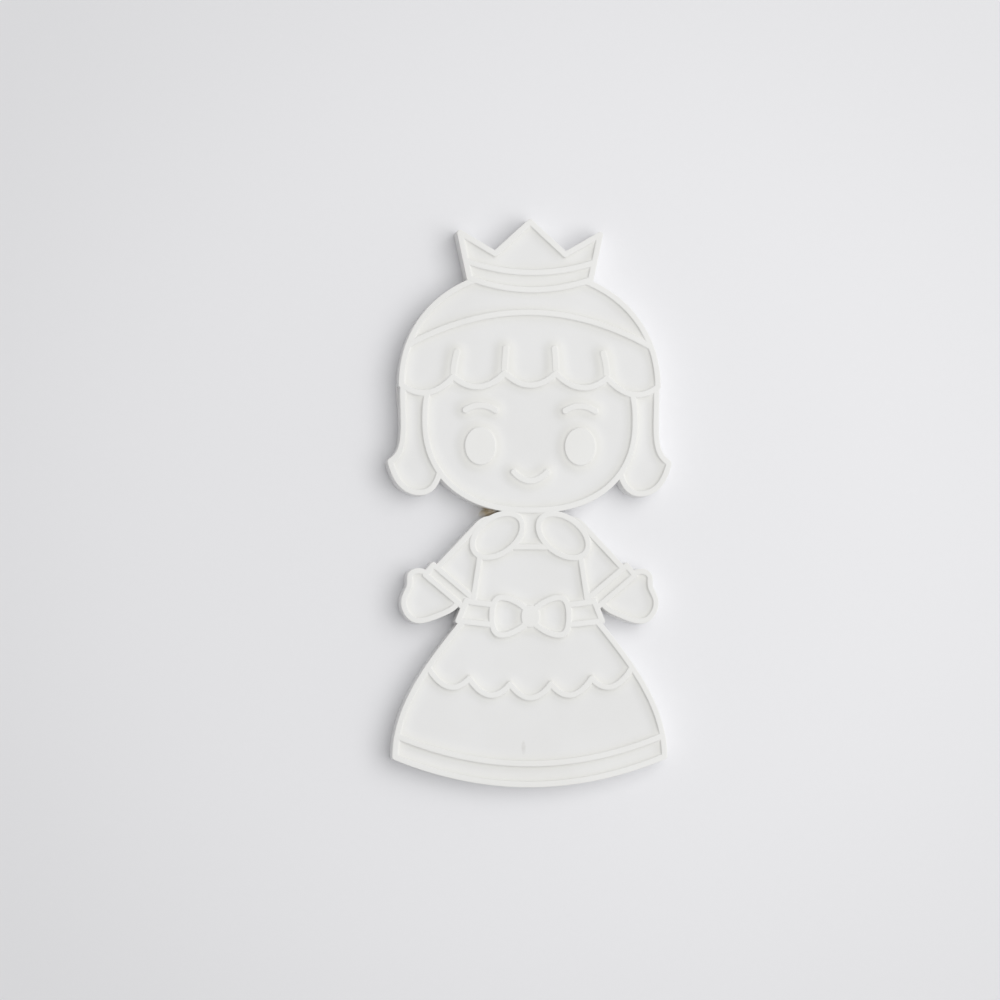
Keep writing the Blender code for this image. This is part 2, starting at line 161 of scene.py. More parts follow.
class LineSizes(PropertyGroup):
    """The raised line that edges every piece."""
    width: size("Width", "Width of the raised line at half its height", 0.00110)
    slope: angle("Slope", "Steepness of the line's sides above a field", 72)
    edge_radius: size("Edge radius", "Rounding of the line's upper edges above a field", 0.00016)
    foot_radius: size("Foot radius", "Fillet where a line or an eye meets a field", 0.00040)
    free_radius: size("Free radius", "Rounding of the doll's outer edge", 0.00014)
    pad_slope: angle("Pad slope", "Steepness of the eyes' sides", 72)
    pad_radius: size("Pad radius", "Rounding of the eyes' upper edges", 0.00018)
    field_rise: size("Field rise", "How far a field rises towards a line", 0.00042)
    field_reach: size("Field reach", "Distance over which that rise fades", 0.00090)
    layer_step: size("Layer step", "How much lower each piece lies than the one in front", 0.000006)
    bury: size("Bury", "How far what is hidden is sunk below the field over it", 0.00006)
    strand_drop: size("Strand drop", "How much lower hair strands are than the lines", 0.0001)
    back_radius: size("Back radius", "Rounding of the plate's lower edge", 0.00030)


class GownSizes(PropertyGroup):
    """The gown, from the hem up to the shoulders."""
    hem_width: size("Hem width", "Width of the gown at the hem's corners", 0.0500)
    hem_sag: size("Hem sag", "How far the hem hangs below its corners", 0.0051)
    hem_band_height: size("Hem band height", "Height of the band along the hem", 0.0038)
    skirt_shown: size("Skirt shown", "Plain skirt between the hem band and the overskirt", 0.0126)
    overskirt_length: size("Overskirt length", "From the waist to the overskirt's corners", 0.0104)
    overskirt_sag: size("Overskirt sag", "How far the overskirt hangs below its corners", 0.0032)
    overskirt_scallops: IntProperty(name="Overskirt scallops", description="Lobes of its edge", default=5)
    overskirt_scallop_depth: size("Overskirt scallop depth", "Depth of each lobe", 0.0024)
    waist_width: size("Waist width", "Width of the bodice at the waist", 0.0218)
    bodice_height: size("Bodice height", "From the waist to the shoulders", 0.0170)
    shoulder_width: size("Shoulder width", "Width across the shoulders", 0.0176)


class BowSizes(PropertyGroup):
    """The sash and its bow."""
    sash_height: size("Sash height", "Height of the sash", 0.0036)
    sash_sag: size("Sash sag", "How far the sash hangs in the middle", 0.0010)
    sash_overhang: size("Sash overhang", "How far the sash stands out beyond the waist", 0.0010)
    width: size("Bow width", "From loop to loop", 0.0136)
    height: size("Bow height", "Height of the loops", 0.0066)
    knot_width: size("Knot width", "Width of the knot", 0.0034)
    knot_height: size("Knot height", "Height of the knot", 0.0040)
    knot_roundness: share("Knot roundness", "Power of the knot's rounded square, 2 being an ellipse", 2.4)


class CollarSizes(PropertyGroup):
    """The neck and the round collar."""
    neck_shown: size("Neck shown", "From the shoulders up to the chin", 0.0016)
    neckline_width: size("Neckline width", "Width of the bodice's neckline", 0.0060)
    length: size("Collar length", "Length of each collar leaf", 0.0104)
    depth: size("Collar depth", "Depth of each collar leaf", 0.0066)
    gap: size("Collar gap", "Gap between the two leaves", 0.0030)
    drop: size("Collar drop", "How far the leaves' middles lie below the shoulders", 0.0031)
    tilt: angle("Collar tilt", "Slope of each leaf", 36)


class ArmSizes(PropertyGroup):
    """Sleeves, cuffs and hands, set along each arm from the shoulder outwards."""
    slope: angle("Arm slope", "Direction of the arm", -50)
    inset: size("Arm inset", "How far the arm's root lies inside the shoulder", 0.0016)
    sleeve_length: size("Sleeve length", "From the arm's root to the cuff's middle", 0.0120)
    sleeve_top_width: size("Sleeve top width", "Width at the shoulder", 0.0070)
    sleeve_end_width: size("Sleeve end width", "Width at the cuff", 0.0084)
    cuff_width: size("Cuff width", "Width of the cuff", 0.0100)
    cuff_depth: size("Cuff depth", "Depth of the cuff along the arm", 0.0024)
    hand_length: size("Hand length", "From the cuff to the finger tips", 0.0080)
    hand_width: size("Hand width", "Width of the palm", 0.0068)
    hand_turn: angle("Hand turn", "How far the hand bends up from the arm", 28)
    thumb_length: size("Thumb length", "How far the thumb stands out", 0.0024)


class FaceSizes(PropertyGroup):
    """Eyes, brows and mouth, set upwards from the chin."""
    eye_spacing: size("Eye spacing", "Between the eyes' middles", 0.0186)
    eye_above_chin: size("Eye height above chin", "From the chin to the eyes' middles", 0.0118)
    eye_width: size("Eye width", "Width of each eye", 0.0058)
    eye_height: size("Eye height", "Height of each eye", 0.0070)
    brow_above_eye: size("Brow above eye", "From the eye's top to the brow's ends", 0.0031)
    brow_length: size("Brow length", "Length of each brow", 0.0056)
    brow_rise: size("Brow rise", "Arch of each brow", 0.0009)
    mouth_above_chin: size("Mouth above chin", "From the chin to the mouth's lowest point", 0.0054)
    mouth_width: size("Mouth width", "Width of the mouth", 0.0062)
    mouth_depth: size("Mouth depth", "How far the mouth's middle hangs", 0.0016)


class HeadSizes(PropertyGroup):
    """The head and its hair, set upwards from the brows."""
    width: size("Head width", "Width of the head with its hair", 0.0478)
    roundness: share("Head roundness", "Power of the head's outline, 2 being an ellipse", 2.15)
    face_inset: size("Face inset", "Hair that shows on each side of the face", 0.0043)
    face_roundness: share("Face roundness", "Power of the face's outline, 2 being an ellipse", 2.3)
    chin_drop: size("Chin drop", "How far the chin hangs below the head's outline", 0.0010)
    fringe_above_brow: size("Fringe above brow", "From the brows to the fringe's corners", 0.0046)
    fringe_end_height: size("Fringe end height", "Height of the fringe at its ends", 0.0074)
    fringe_edge_arch: size("Fringe edge arch", "Rise of the fringe's lower edge", 0.0024)
    fringe_top_arch: size("Fringe top arch", "Rise of the fringe's upper edge", 0.0062)
    fringe_scallops: IntProperty(name="Fringe scallops", description="Lobes of its edge", default=5)
    fringe_scallop_depth: size("Fringe scallop depth", "Depth of each lobe", 0.0023)
    strand_length: size("Strand length", "Length of the strand above each cusp", 0.0046)
    hair_strip: size("Hair strip", "Hair between the fringe and the crown", 0.0042)
    lock_reach: size("Lock reach", "How far the side locks stand out", 0.0021)
    lock_tip_above_chin: size("Lock tip above chin", "Height of the flicked tips", 0.0088)
    lock_curl: size("Lock curl", "Depth of the curl below the tip", 0.0064)


class CrownSizes(PropertyGroup):
    """The crown and its band."""
    seat: size("Crown seat", "How far the crown sits down on the head", 0.0034)
    base_width: size("Base width", "Width at the foot of the band", 0.0226)
    tip_width: size("Tip width", "Between the outer points", 0.0262)
    base_sag: size("Base sag", "How far the band hangs in the middle", 0.0020)
    band_height: size("Band height", "Height of the band", 0.0032)
    valley_rise: size("Valley rise", "From the band's ends to the valleys", 0.0014)
    point_height: size("Point height", "From the valleys to the middle point", 0.0060)
    side_drop: size("Side drop", "How much lower the outer points are", 0.0022)


class FinishSettings(PropertyGroup):
    """The bare off-white plastic, the painted shade and painted highlight on its relief, and the marks on
    it.
    """
    field: colour("Field colour", "Bare plastic of the sunken fields", (0.838, 0.838, 0.834))
    # Painted shade: a warm, slightly darker tone painted at the feet of the lines, standing in for the
    # shade there.
    crease_painted_shade: colour("Crease colour", "A trace of dust at the feet of the lines", (0.838, 0.835, 0.808))
    # Painted highlight: the tops of the raised lines are painted lighter than the fields.
    line: colour("Line colour", "Tops of the raised lines, rubbed clean", (0.866, 0.865, 0.849))
    mottle: colour("Mottle tint", "Faint clouds, as a tint over the plastic", (0.976, 0.974, 0.970))
    residue: colour("Residue colour", "Dried residue in the notch under the chin", (0.610, 0.490, 0.300))
    residue_place: place("Residue place", "Middle of the residue", (-0.0062, -0.0015, 0.0010))
    residue_reach: place("Residue reach", "How far the residue spreads each way", (0.0038, 0.0016, 0.0034))
    residue_turn: angle("Residue turn", "Direction of the notch that the residue lies in", 17)
    smudge: colour("Smudge colour", "Small grey mark by the hem", (0.735, 0.730, 0.715))
    smudge_place: place("Smudge place", "Middle of the smudge", (-0.0012, -0.0452, 0.0044))
    smudge_reach: place("Smudge reach", "How far the smudge spreads each way", (0.0005, 0.0015, 0.0020))
    roughness: share("Roughness", "Middle roughness of the surface", 0.55)


class StageSettings(PropertyGroup):
    """Floor, light and camera."""
    floor: colour("Floor colour", "Pale table top near the doll", (0.862, 0.862, 0.880))
    # Painted shade: the far colour is darker, painted on the floor away from the doll in place of the light
    # falling off.
    far_floor_painted_shade: colour("Far floor colour", "Pale table top further off", (0.804, 0.804, 0.820))
    near: size("Near", "How far out the floor begins to change", 0.060)
    far: size("Far", "How far out the floor ends its change", 0.140)
    floor_size: size("Floor size", "Side of the square floor", 6.0)
    sky: share("Sky strength", "Light from all round", 0.51)
    sky_lean: share("Sky lean", "How much brighter the sky is on the lamp's side", 0.35)
    key_power: share("Key power", "Power of the soft lamp, in watts", 2.17)
    key_width: size("Key width", "Width of the soft lamp", 0.70)
    key_height: size("Key height", "Height of the soft lamp", 0.60)
    key_distance: size("Key distance", "From the doll to the soft lamp", 0.60)
    key_azimuth: angle("Key azimuth", "Direction of the soft lamp, turned from +X towards +Y", 13)
    key_elevation: angle("Key elevation", "Height of the soft lamp above the floor", 65)
    aim: place("Aim", "Point of the floor in the middle of the picture", (-0.0050, 0.0006, 0))
    eye: place("Eye", "Where the camera is, from the point it aims at", (-0.090, -0.031, 0.700))
    lens: share("Lens", "Focal length in millimetres", 137.0)


class DollSettings(PropertyGroup):
    """Every size and colour of the doll and its stage."""
    line: PointerProperty(type=LineSizes)
    gown: PointerProperty(type=GownSizes)
    bow: PointerProperty(type=BowSizes)
    collar: PointerProperty(type=CollarSizes)
    arm: PointerProperty(type=ArmSizes)
    face: PointerProperty(type=FaceSizes)
    head: PointerProperty(type=HeadSizes)
    crown: PointerProperty(type=CrownSizes)
    finish: PointerProperty(type=FinishSettings)
    stage: PointerProperty(type=StageSettings)


# Rows and rings of points in the doll's plane

def steps_for(length):
    """Number of steps that keeps a curve of this length near CURVE_STEP."""
    return max(LEAST_STEPS, int(round(length / CURVE_STEP)))


def closed(*rows, least=SAME_POINT):
    """Rows joined end to end into one anticlockwise ring.

    Points nearer than least to the next are left out, and each edge longer than
    CURVE_STEP is cut into equal parts no longer than that.
    """
    ring = np.concatenate(rows)
    gap = np.hypot(*(np.roll(ring, -1, axis=0) - ring).T)
    ring = ring[gap > least]
    x, y = ring.T
    if np.sum(x * np.roll(y, -1) - np.roll(x, -1) * y) < 0:
        ring = ring[::-1]
    edge = np.roll(ring, -1, axis=0) - ring
    parts = np.ceil(np.hypot(*edge.T) / CURVE_STEP).astype(int)
    first = np.repeat(np.cumsum(parts) - parts, parts)
    part = (np.arange(len(first)) - first) / np.repeat(parts, parts)
    return np.repeat(ring, parts, axis=0) + part[:, None] * np.repeat(edge, parts, axis=0)


def superellipse(middle, width, height, power=2.0, start=0.0, end=2 * math.pi):
    """Row along |x/a|^p + |y/b|^p = 1 from one angle to another, anticlockwise."""
    turn = np.linspace(start, end, steps_for((width + height) * (end - start) / 4) + 1)
    across, along = np.cos(turn), np.sin(turn)
    return np.stack([
        middle[0] + width / 2 * np.sign(across) * np.abs(across) ** (2 / power),
        middle[1] + height / 2 * np.sign(along) * np.abs(along) ** (2 / power)], axis=1)


def ellipse(middle, width, height, power=2.0):
    """Closed ring of a superellipse."""
    return closed(superellipse(middle, width, height, power)[:-1])


def spline(points):
    """Closed cubic B-spline: each point is four neighbouring control points, weighted by cubics."""
    points = np.asarray(points, dtype=float)
    around = np.hypot(*(np.roll(points, -1, axis=0) - points).T).sum()
    along = np.linspace(0, len(points), steps_for(around), endpoint=False)
    start = along.astype(int)
    t = (along - start)[:, None]
    weights = ((1 - t) ** 3, 3 * t ** 3 - 6 * t ** 2 + 4, -3 * t ** 3 + 3 * t ** 2 + 3 * t + 1, t ** 3)
    near = (points[(start + k - 1) % len(points)] for k in range(4))
    return closed(sum(weight * point for weight, point in zip(weights, near)) / 6)


def arch(half, level, rise, start=-1.0):
    """Row of a parabola over -half to +half that stands rise above level in the middle.

    A start other than -1 leaves out the stretch before that share of half.
    """
    t = np.linspace(start, 1, steps_for(half * (1 - start)) + 1)
    return np.stack([half * t, level + rise * (1 - t ** 2)], axis=1)


def scallops(half, level, rise, count, depth):
    """Row from -half to +half along an arch, with parabolic lobes hanging below it."""
    along = np.linspace(0, count, count * steps_for(2 * half / count) + 1)
    t = 2 * along / count - 1
    drop = 1 - (2 * (along % 1) - 1) ** 2
    return np.stack([half * t, level + rise * (1 - t ** 2) - depth * drop], axis=1)


def side_row(half_width, low, high):
    """Right-hand side from low to high, half_width being a function of the height."""
    height = np.linspace(low, high, steps_for(high - low) + 1)
    return np.stack([half_width(height), height], axis=1)


def mirrored(points):
    """The same points reflected in the doll's middle line."""
    return points * (-1, 1)


def both_sides(name, ring):
    """The right-hand ring and its reflection on the left, under their pieces' names."""
    return {f"right_{name}": ring, f"left_{name}": closed(mirrored(ring))}


def strip(lower, upper):
    """Ring between two rows that both run from left to right."""
    return closed(lower, upper[::-1])


def turned(points, turn):
    """Points turned anticlockwise about the origin."""
    across = np.array((math.cos(turn), math.sin(turn)))
    along = np.array((-across[1], across[0]))
    return points[:, :1] * across + points[:, 1:] * along


def stroke(path, half):
    """Ring round an open path at a distance of half, with round ends."""
    heading = np.gradient(path, axis=0)
    heading /= np.hypot(*heading.T)[:, None]
    left = np.stack([-heading[:, 1], heading[:, 0]], axis=1)
    turn = np.linspace(0, math.pi, DOME_STEPS + 1)[1:-1, None]
    last = path[-1] + half * (left[-1] * np.cos(turn) + heading[-1] * np.sin(turn))
    first = path[0] - half * (left[0] * np.cos(turn) + heading[0] * np.sin(turn))
    return closed(path + left * half, last, (path - left * half)[::-1], first)


# Outlines of the pieces, counted up from the hem

def heights(doll):
    """Heights along the body, each counted up from the one below it, with the hem at 0."""
    gown, face, head, crown = doll.gown, doll.face, doll.head, doll.crown
    at = SimpleNamespace()
    at.hem_corner = gown.hem_sag
    at.hem_band_top = at.hem_corner + gown.hem_band_height
    at.overskirt_edge = at.hem_band_top + gown.skirt_shown
    at.waist = at.overskirt_edge + gown.overskirt_length
    at.shoulder = at.waist + gown.bodice_height
    at.chin = at.shoulder + doll.collar.neck_shown
    at.eye = at.chin + face.eye_above_chin
    at.brow = at.eye + face.eye_height / 2 + face.brow_above_eye
    at.fringe_edge = at.brow + head.fringe_above_brow
    at.fringe_end = at.fringe_edge + head.fringe_end_height
    at.fringe_top = at.fringe_end + head.fringe_top_arch
    at.crown_base = at.fringe_top + head.hair_strip
    at.head_top = at.crown_base + crown.seat
    at.crown_band_top = at.crown_base + crown.band_height
    at.crown_valley = at.crown_band_top + crown.base_sag + crown.valley_rise
    at.crown_top = at.crown_valley + crown.point_height
    at.head_half = (at.head_top - at.chin - head.chin_drop) / 2
    at.head_middle = at.head_top - at.head_half
    return at


def head_half_width(doll, at, height):
    """Half width of the head's superellipse at a height."""
    power = doll.head.roundness
    lost = np.abs((height - at.head_middle) / at.head_half) ** power
    return doll.head.width / 2 * np.maximum(0, 1 - lost) ** (1 / power)


def gown_half_width(doll, at, height):
    """Half width of the gown: a quarter sine from the waist out to the hem."""
    gown = doll.gown
    down = np.clip((at.waist - height) / (at.waist - at.hem_corner), 0, 1)
    flare = (gown.hem_width - gown.waist_width) / 2
    return gown.waist_width / 2 + flare * np.sin(math.pi / 2 * down)


def crown_outlines(doll, at):
    """Band across the hair and the pointed crown standing behind it."""
    crown = doll.crown
    half, tip = crown.base_width / 2, crown.tip_width / 2
    side_foot = at.crown_base + crown.base_sag
    side_top = at.crown_top - crown.side_drop
    flare = (tip - half) / (side_top - side_foot)

    def row_above(rise):
        """Row across the band that hangs in the middle, at a rise above the band's foot."""
        return arch(half + flare * rise, side_foot + rise, -crown.base_sag)

    band = strip(row_above(0), row_above(crown.band_height))
    hidden = row_above(crown.band_height / 2)
    right = np.array([(tip, side_top), (tip / 2, at.crown_valley)])
    peak = np.array([(0, at.crown_top)])
    return {"crown_band": band, "crown": closed(hidden, right, peak, mirrored(right)[::-1])}


def hair_outlines(doll, at):
    """Scalloped fringe, side locks that flick out, and the cap of hair under the crown."""
    head, line = doll.head, doll.line
    edge = float(head_half_width(doll, at, at.fringe_edge))
    end = float(head_half_width(doll, at, at.fringe_end))
    side = side_row(lambda height: head_half_width(doll, at, height), at.fringe_edge, at.fringe_end)
    lower = scallops(
        edge, at.fringe_edge, head.fringe_edge_arch, head.fringe_scallops, head.fringe_scallop_depth)
    upper = arch(end, at.fringe_end, head.fringe_top_arch)
    rings = {"fringe": closed(lower, side, upper[::-1], mirrored(side)[::-1])}

    curl = head.lock_curl
    tip = head.width / 2 + head.lock_reach
    level = at.chin + head.lock_tip_above_chin
    inner = head.width / 2 - head.face_inset - curl / 2
    lock = spline([
        (edge - line.width, at.fringe_end), (edge, at.fringe_edge),
        (edge - line.width / 2, level + curl), (edge, level + curl / 4),
        (tip, level), (tip, level),
        (tip - curl / 4, level - curl * 3 / 4), (inner + curl / 2, level - curl),
        (inner, level - curl / 2), (inner, level + curl), (inner, at.fringe_end)])
    rings.update(both_sides("lock", lock))

    hidden = (at.fringe_end + at.fringe_edge) / 2
    start = math.asin(((hidden - at.head_middle) / at.head_half) ** (head.roundness / 2))
    middle = (0, at.head_middle)
    dome = superellipse(middle, head.width, 2 * at.head_half, head.roundness, start, math.pi - start)
    rings["hair_cap"] = closed(dome)
    return rings


def strand_outlines(doll, at):
    """Strands, each rising from a cusp of the fringe and leaning towards the middle by a parabola."""
    head, half = doll.head, doll.line.width / 2
    edge = float(head_half_width(doll, at, at.fringe_edge))
    rise = np.linspace(0, head.strand_length, steps_for(head.strand_length))
    rings = {}
    for number, cusp in enumerate(np.linspace(-1, 1, head.fringe_scallops + 1)[1:-1]):
        foot = at.fringe_edge + head.fringe_edge_arch * (1 - cusp ** 2)
        lean = cusp * rise ** 2 / (4 * head.strand_length)
        rings[f"strand_{number}"] = stroke(np.stack([cusp * edge - lean, foot + rise], axis=1), half)
    return rings


def face_outlines(doll, at):
    """Face with its eyes, brows and mouth."""
    face, head, half = doll.face, doll.head, doll.line.width / 2
    top = at.fringe_top - head.fringe_top_arch / 2
    width = head.width - 2 * head.face_inset
    rings = {"face": ellipse((0, (at.chin + top) / 2), width, top - at.chin, head.face_roundness)}
    aside = face.eye_spacing / 2
    brow = arch(face.brow_length / 2, at.brow, face.brow_rise) + (aside, 0)
    rings.update(both_sides("eye", ellipse((aside, at.eye), face.eye_width, face.eye_height)))
    rings.update(both_sides("brow", stroke(brow, half)))
    mouth_corner = at.chin + face.mouth_above_chin + face.mouth_depth
    rings["mouth"] = stroke(arch(face.mouth_width / 2, mouth_corner, -face.mouth_depth), half)
    return rings


def bow_outlines(doll, at):
    """Knot, bow loops and the sash ends that show beside them."""
    bow, half = doll.bow, doll.line.width / 2
    level = at.waist - bow.sash_sag
    rings = {"knot": ellipse((0, level), bow.knot_width, bow.knot_height, bow.knot_roundness)}
    end, top, root = bow.width / 2, bow.height / 2, bow.knot_height / 4
    loop = spline([
        (0, level - root), (end / 2, level - top), (end, level - top - half),
        (end + half, level), (end, level + top + half), (end / 2, level + top), (0, level + root)])
    rings.update(both_sides("bow_loop", loop))

    upper_level = at.waist + bow.sash_height / 2
    lower_level = at.waist - bow.sash_height / 2
    upper_half = doll.gown.waist_width / 2 + bow.sash_overhang
    lower_half = float(gown_half_width(doll, at, lower_level)) + bow.sash_overhang
    hidden = bow.width / 4
    upper = arch(upper_half, upper_level, -bow.sash_sag, hidden / upper_half)
    lower = arch(lower_half, lower_level, -bow.sash_sag, hidden / lower_half)
    rings.update(both_sides("sash", strip(lower, upper)))
    return rings


def bodice_outlines(doll, at):
    """Collar, bodice and the neck behind them."""
    collar, gown = doll.collar, doll.gown
    leaf = turned(ellipse((0, 0), collar.length, collar.depth), -collar.tilt)
    leaf += (collar.gap / 2 - leaf[:, 0].min(), at.shoulder - collar.drop)
    rings = both_sides("collar", leaf)
    right = np.array([
        (gown.waist_width / 2, at.waist), (gown.shoulder_width / 2, at.shoulder - collar.drop),
        (collar.neckline_width / 2, at.shoulder - collar.length / 2)])
    rings["bodice"] = closed(right, mirrored(right)[::-1])
    half = leaf[leaf[:, 1].argmax(), 0] - doll.line.width / 2
    right = np.array([(half, at.shoulder - collar.length), (half, at.chin + doll.head.face_inset)])
    rings["neck"] = closed(right, mirrored(right)[::-1])
    return rings


def skirt_outlines(doll, at):
    """Scalloped overskirt, hem band and the plain skirt between them."""
    gown = doll.gown

    def side_between(low, high):
        return side_row(lambda height: gown_half_width(doll, at, height), low, high)

    side = side_between(at.overskirt_edge, at.waist)
    lower = scallops(
        side[0, 0], at.overskirt_edge, -gown.overskirt_sag,
        gown.overskirt_scallops, gown.overskirt_scallop_depth)
    rings = {"overskirt": closed(lower, side, mirrored(side)[::-1])}

    side = side_between(at.hem_corner, at.hem_band_top)
    hem = arch(side[0, 0], at.hem_corner, -gown.hem_sag)
    upper = arch(side[-1, 0], at.hem_band_top, -gown.hem_sag)
    rings["hem_band"] = closed(hem, side, upper[::-1], mirrored(side)[::-1])

    hidden_foot = (at.hem_corner + at.hem_band_top) / 2
    side = side_between(hidden_foot, (at.overskirt_edge + at.waist) / 2)
    lower = arch(side[0, 0], hidden_foot, -gown.hem_sag)
    rings["skirt"] = closed(lower, side, mirrored(side)[::-1])
    return rings


def arm_outlines(doll, at):
    """Cuffs, sleeves and hands on both sides."""
    arm = doll.arm
    root = np.array((doll.gown.shoulder_width / 2 - arm.inset, at.shoulder - arm.sleeve_top_width / 2))
    half, end = arm.cuff_width / 2, arm.sleeve_end_width / 2
    near = arm.sleeve_length - arm.cuff_depth / 2
    far = arm.sleeve_length + arm.cuff_depth / 2
    cuff = np.array([(near, -half), (far, -half), (far, half), (near, half)])
    rings = both_sides("cuff", closed(root + turned(cuff, arm.slope)))

    top = arm.sleeve_top_width
    shoulder = superellipse((0, 0), top, top, 2, math.pi / 2, 1.5 * math.pi)
    wrist = np.array([(arm.sleeve_length, -end), (arm.sleeve_length, end)])
    sleeve = turned(np.concatenate([shoulder, wrist]), arm.slope)
    rings.update(both_sides("sleeve", closed(root + sleeve)))

    length, palm, back = arm.hand_length, arm.hand_width / 2, -arm.cuff_depth
    thumb, third = palm + arm.thumb_length, length / 3
    hand = spline([
        (back, -palm), (third, -palm), (length, -palm), (length + doll.line.width / 2, palm / 2),
        (2 * third, palm), (2 * third, thumb), (third, thumb), (third / 2, palm), (back, palm)])
    hand = turned(turned(hand, arm.hand_turn) + (far, 0), arm.slope)
    rings.update(both_sides("hand", closed(root + hand)))
    return rings


def plate_outlines(doll, at):
    """The whole gown and the whole head, which the plate joins to the smaller outlines."""
    side = side_row(lambda height: gown_half_width(doll, at, height), at.hem_corner, at.waist)
    hem = arch(side[0, 0], at.hem_corner, -doll.gown.hem_sag)
    head = ellipse((0, at.head_middle), doll.head.width, 2 * at.head_half, doll.head.roundness)
    return {"gown": closed(hem, side, mirrored(side)[::-1]), "head": head}


def outlines(doll):
    """The ring of every piece, with the origin in the middle of the doll's length."""
    at = heights(doll)
    rings = {}
    for outline in (crown_outlines, hair_outlines, strand_outlines, face_outlines, bow_outlines,
                    bodice_outlines, skirt_outlines, arm_outlines, plate_outlines):
        rings.update(outline(doll, at))
    return {name: ring - (0, at.crown_top / 2) for name, ring in rings.items()}


# Which pieces lie in front of which

PADS = ("knot", "mouth") + tuple(f"{side}_{part}" for side in SIDES for part in ("eye", "brow"))
WHOLES = ("gown", "head")


def fronts():
    """For each piece, the pieces in front of it."""
    order = {
        "face": ["fringe"],
        "crown": ["crown_band"],
        "hair_cap": ["fringe", "crown_band", "crown"],
        "bodice": ["face", "right_collar", "left_collar", "right_sash", "left_sash",
                   "right_bow_loop", "left_bow_loop", "knot"],
        "neck": ["face", "right_collar", "left_collar", "bodice"],
        "overskirt": ["right_sash", "left_sash", "right_bow_loop", "left_bow_loop", "knot"],
        "skirt": ["overskirt", "hem_band"],
    }
    for side in SIDES:
        order[f"{side}_lock"] = ["fringe", "face"]
        order[f"{side}_bow_loop"] = ["knot"]
        order[f"{side}_sash"] = [f"{side}_bow_loop"]
        order[f"{side}_collar"] = ["face"]
        order[f"{side}_cuff"] = ["bodice", f"{side}_sash"]
        order[f"{side}_sleeve"] = ["bodice", f"{side}_collar", f"{side}_cuff", "face"]
        order[f"{side}_hand"] = [f"{side}_cuff", f"{side}_sleeve", "overskirt", "skirt"]
    return order


FRONTS = fronts()


def layer(name):
    """Number of pieces that lie one over another in front of this one."""
    return 1 + max(map(layer, FRONTS[name])) if name in FRONTS else 0


# Surfaces

def facing(ring):
    """Points of a ring and their outward directions.

    A point on a smooth stretch faces halfway between its two edges. A corner is
    repeated, with directions that fan from one edge's to the other's.
    """
    edge = np.roll(ring, -1, axis=0) - ring
    after = np.arctan2(edge[:, 1], edge[:, 0]) - math.pi / 2
    before = np.roll(after, 1)
    bend = (after - before + math.pi) % (2 * math.pi) - math.pi
    copies = np.where(np.abs(bend) > CORNER, np.ceil(np.abs(bend) / FAN_STEP) + 1, 1).astype(int)
    first = np.repeat(np.cumsum(copies) - copies, copies)
    spread = np.repeat(np.maximum(copies - 1, 1), copies)
    part = np.where(np.repeat(copies, copies) > 1, (np.arange(len(first)) - first) / spread, 0.5)
    turn = np.repeat(before, copies) + part * np.repeat(bend, copies)
    return np.repeat(ring, copies, axis=0), np.stack([np.cos(turn), np.sin(turn)], axis=1)


def nearest(points, ring):
    """Distance from each point to a ring's nearest edge."""
    run, climb = (np.roll(ring, -1, axis=0) - ring).T
    across, along = points[:, :1] - ring[:, 0], points[:, 1:] - ring[:, 1]
    part = np.clip((across * run + along * climb) / (run ** 2 + climb ** 2), 0, 1)
    return np.sqrt(((across - part * run) ** 2 + (along - part * climb) ** 2).min(axis=1))


def inside(points, ring):
    """True for each point that a ring winds round."""
    start, end = ring[None], np.roll(ring, -1, axis=0)[None]
    x, y = points[:, :1], points[:, 1:]
    edge = end - start
    left = edge[..., 0] * (y - start[..., 1]) - (x - start[..., 0]) * edge[..., 1]
    up = (start[..., 1] <= y) & (end[..., 1] > y) & (left > 0)
    down = (end[..., 1] <= y) & (start[..., 1] > y) & (left < 0)
    return (up.sum(axis=1) - down.sum(axis=1)) != 0


def rail(ring, offset):
    """Each facing point of a ring moved outwards by an offset, one for all or one each.

    Points that land nearer the ring than their offset, as inside a corner, are put in
    even steps between the nearest points that don't.
    """
    points, directions = facing(ring)
    offset = np.broadcast_to(offset, len(points))
    moved = points + offset[:, None] * directions
    good = nearest(moved, ring) > np.abs(offset) * CLEAR_SHARE - SAME_POINT
    if not good.any():
        raise ValueError("an outline is too narrow for its line")
    count = np.arange(len(points))
    rows = [np.interp(count, count[good], row[good], period=len(count)) for row in moved.T]
    return np.stack(rows, axis=1)


def smooth(t):
    """Smooth step from 0 to 1, 3t^2 - 2t^3."""
    t = np.clip(t, 0, 1)
    return t * t * (3 - 2 * t)


def depth_in(name, points, rings, half):
    """How far each point lies inside a piece's outer edge, negative outside it."""
    side = np.where(inside(points, rings[name]), 1, -1)
    return (0 if name in PADS else half) + side * nearest(points, rings[name])


def hidden_share(points, names, rings, width):
    """0 in the open and 1 under one of the named pieces, changing within that piece's line."""
    hidden = np.zeros(len(points))
    for name in names:
        low, high = rings[name].min(axis=0) - width, rings[name].max(axis=0) + width
        near = ((points > low) & (points < high)).all(axis=1)
        if near.any():
            depth = depth_in(name, points[near], rings, width / 2) / width
            hidden[near] = np.maximum(hidden[near], smooth((depth - HIDING_START) / HIDING_SPAN))
    return hidden


def carried(ring, offsets, levels):
    """Grid of points: a profile of offsets and levels carried round a ring.

    Each offset and level is one for all of the ring's facing points or one for each.
    """
    rows = []
    for offset, level in zip(offsets, levels):
        row = rail(ring, offset)
        rows.append(np.column_stack([row, np.broadcast_to(level, len(row))]))
    return np.stack(rows)


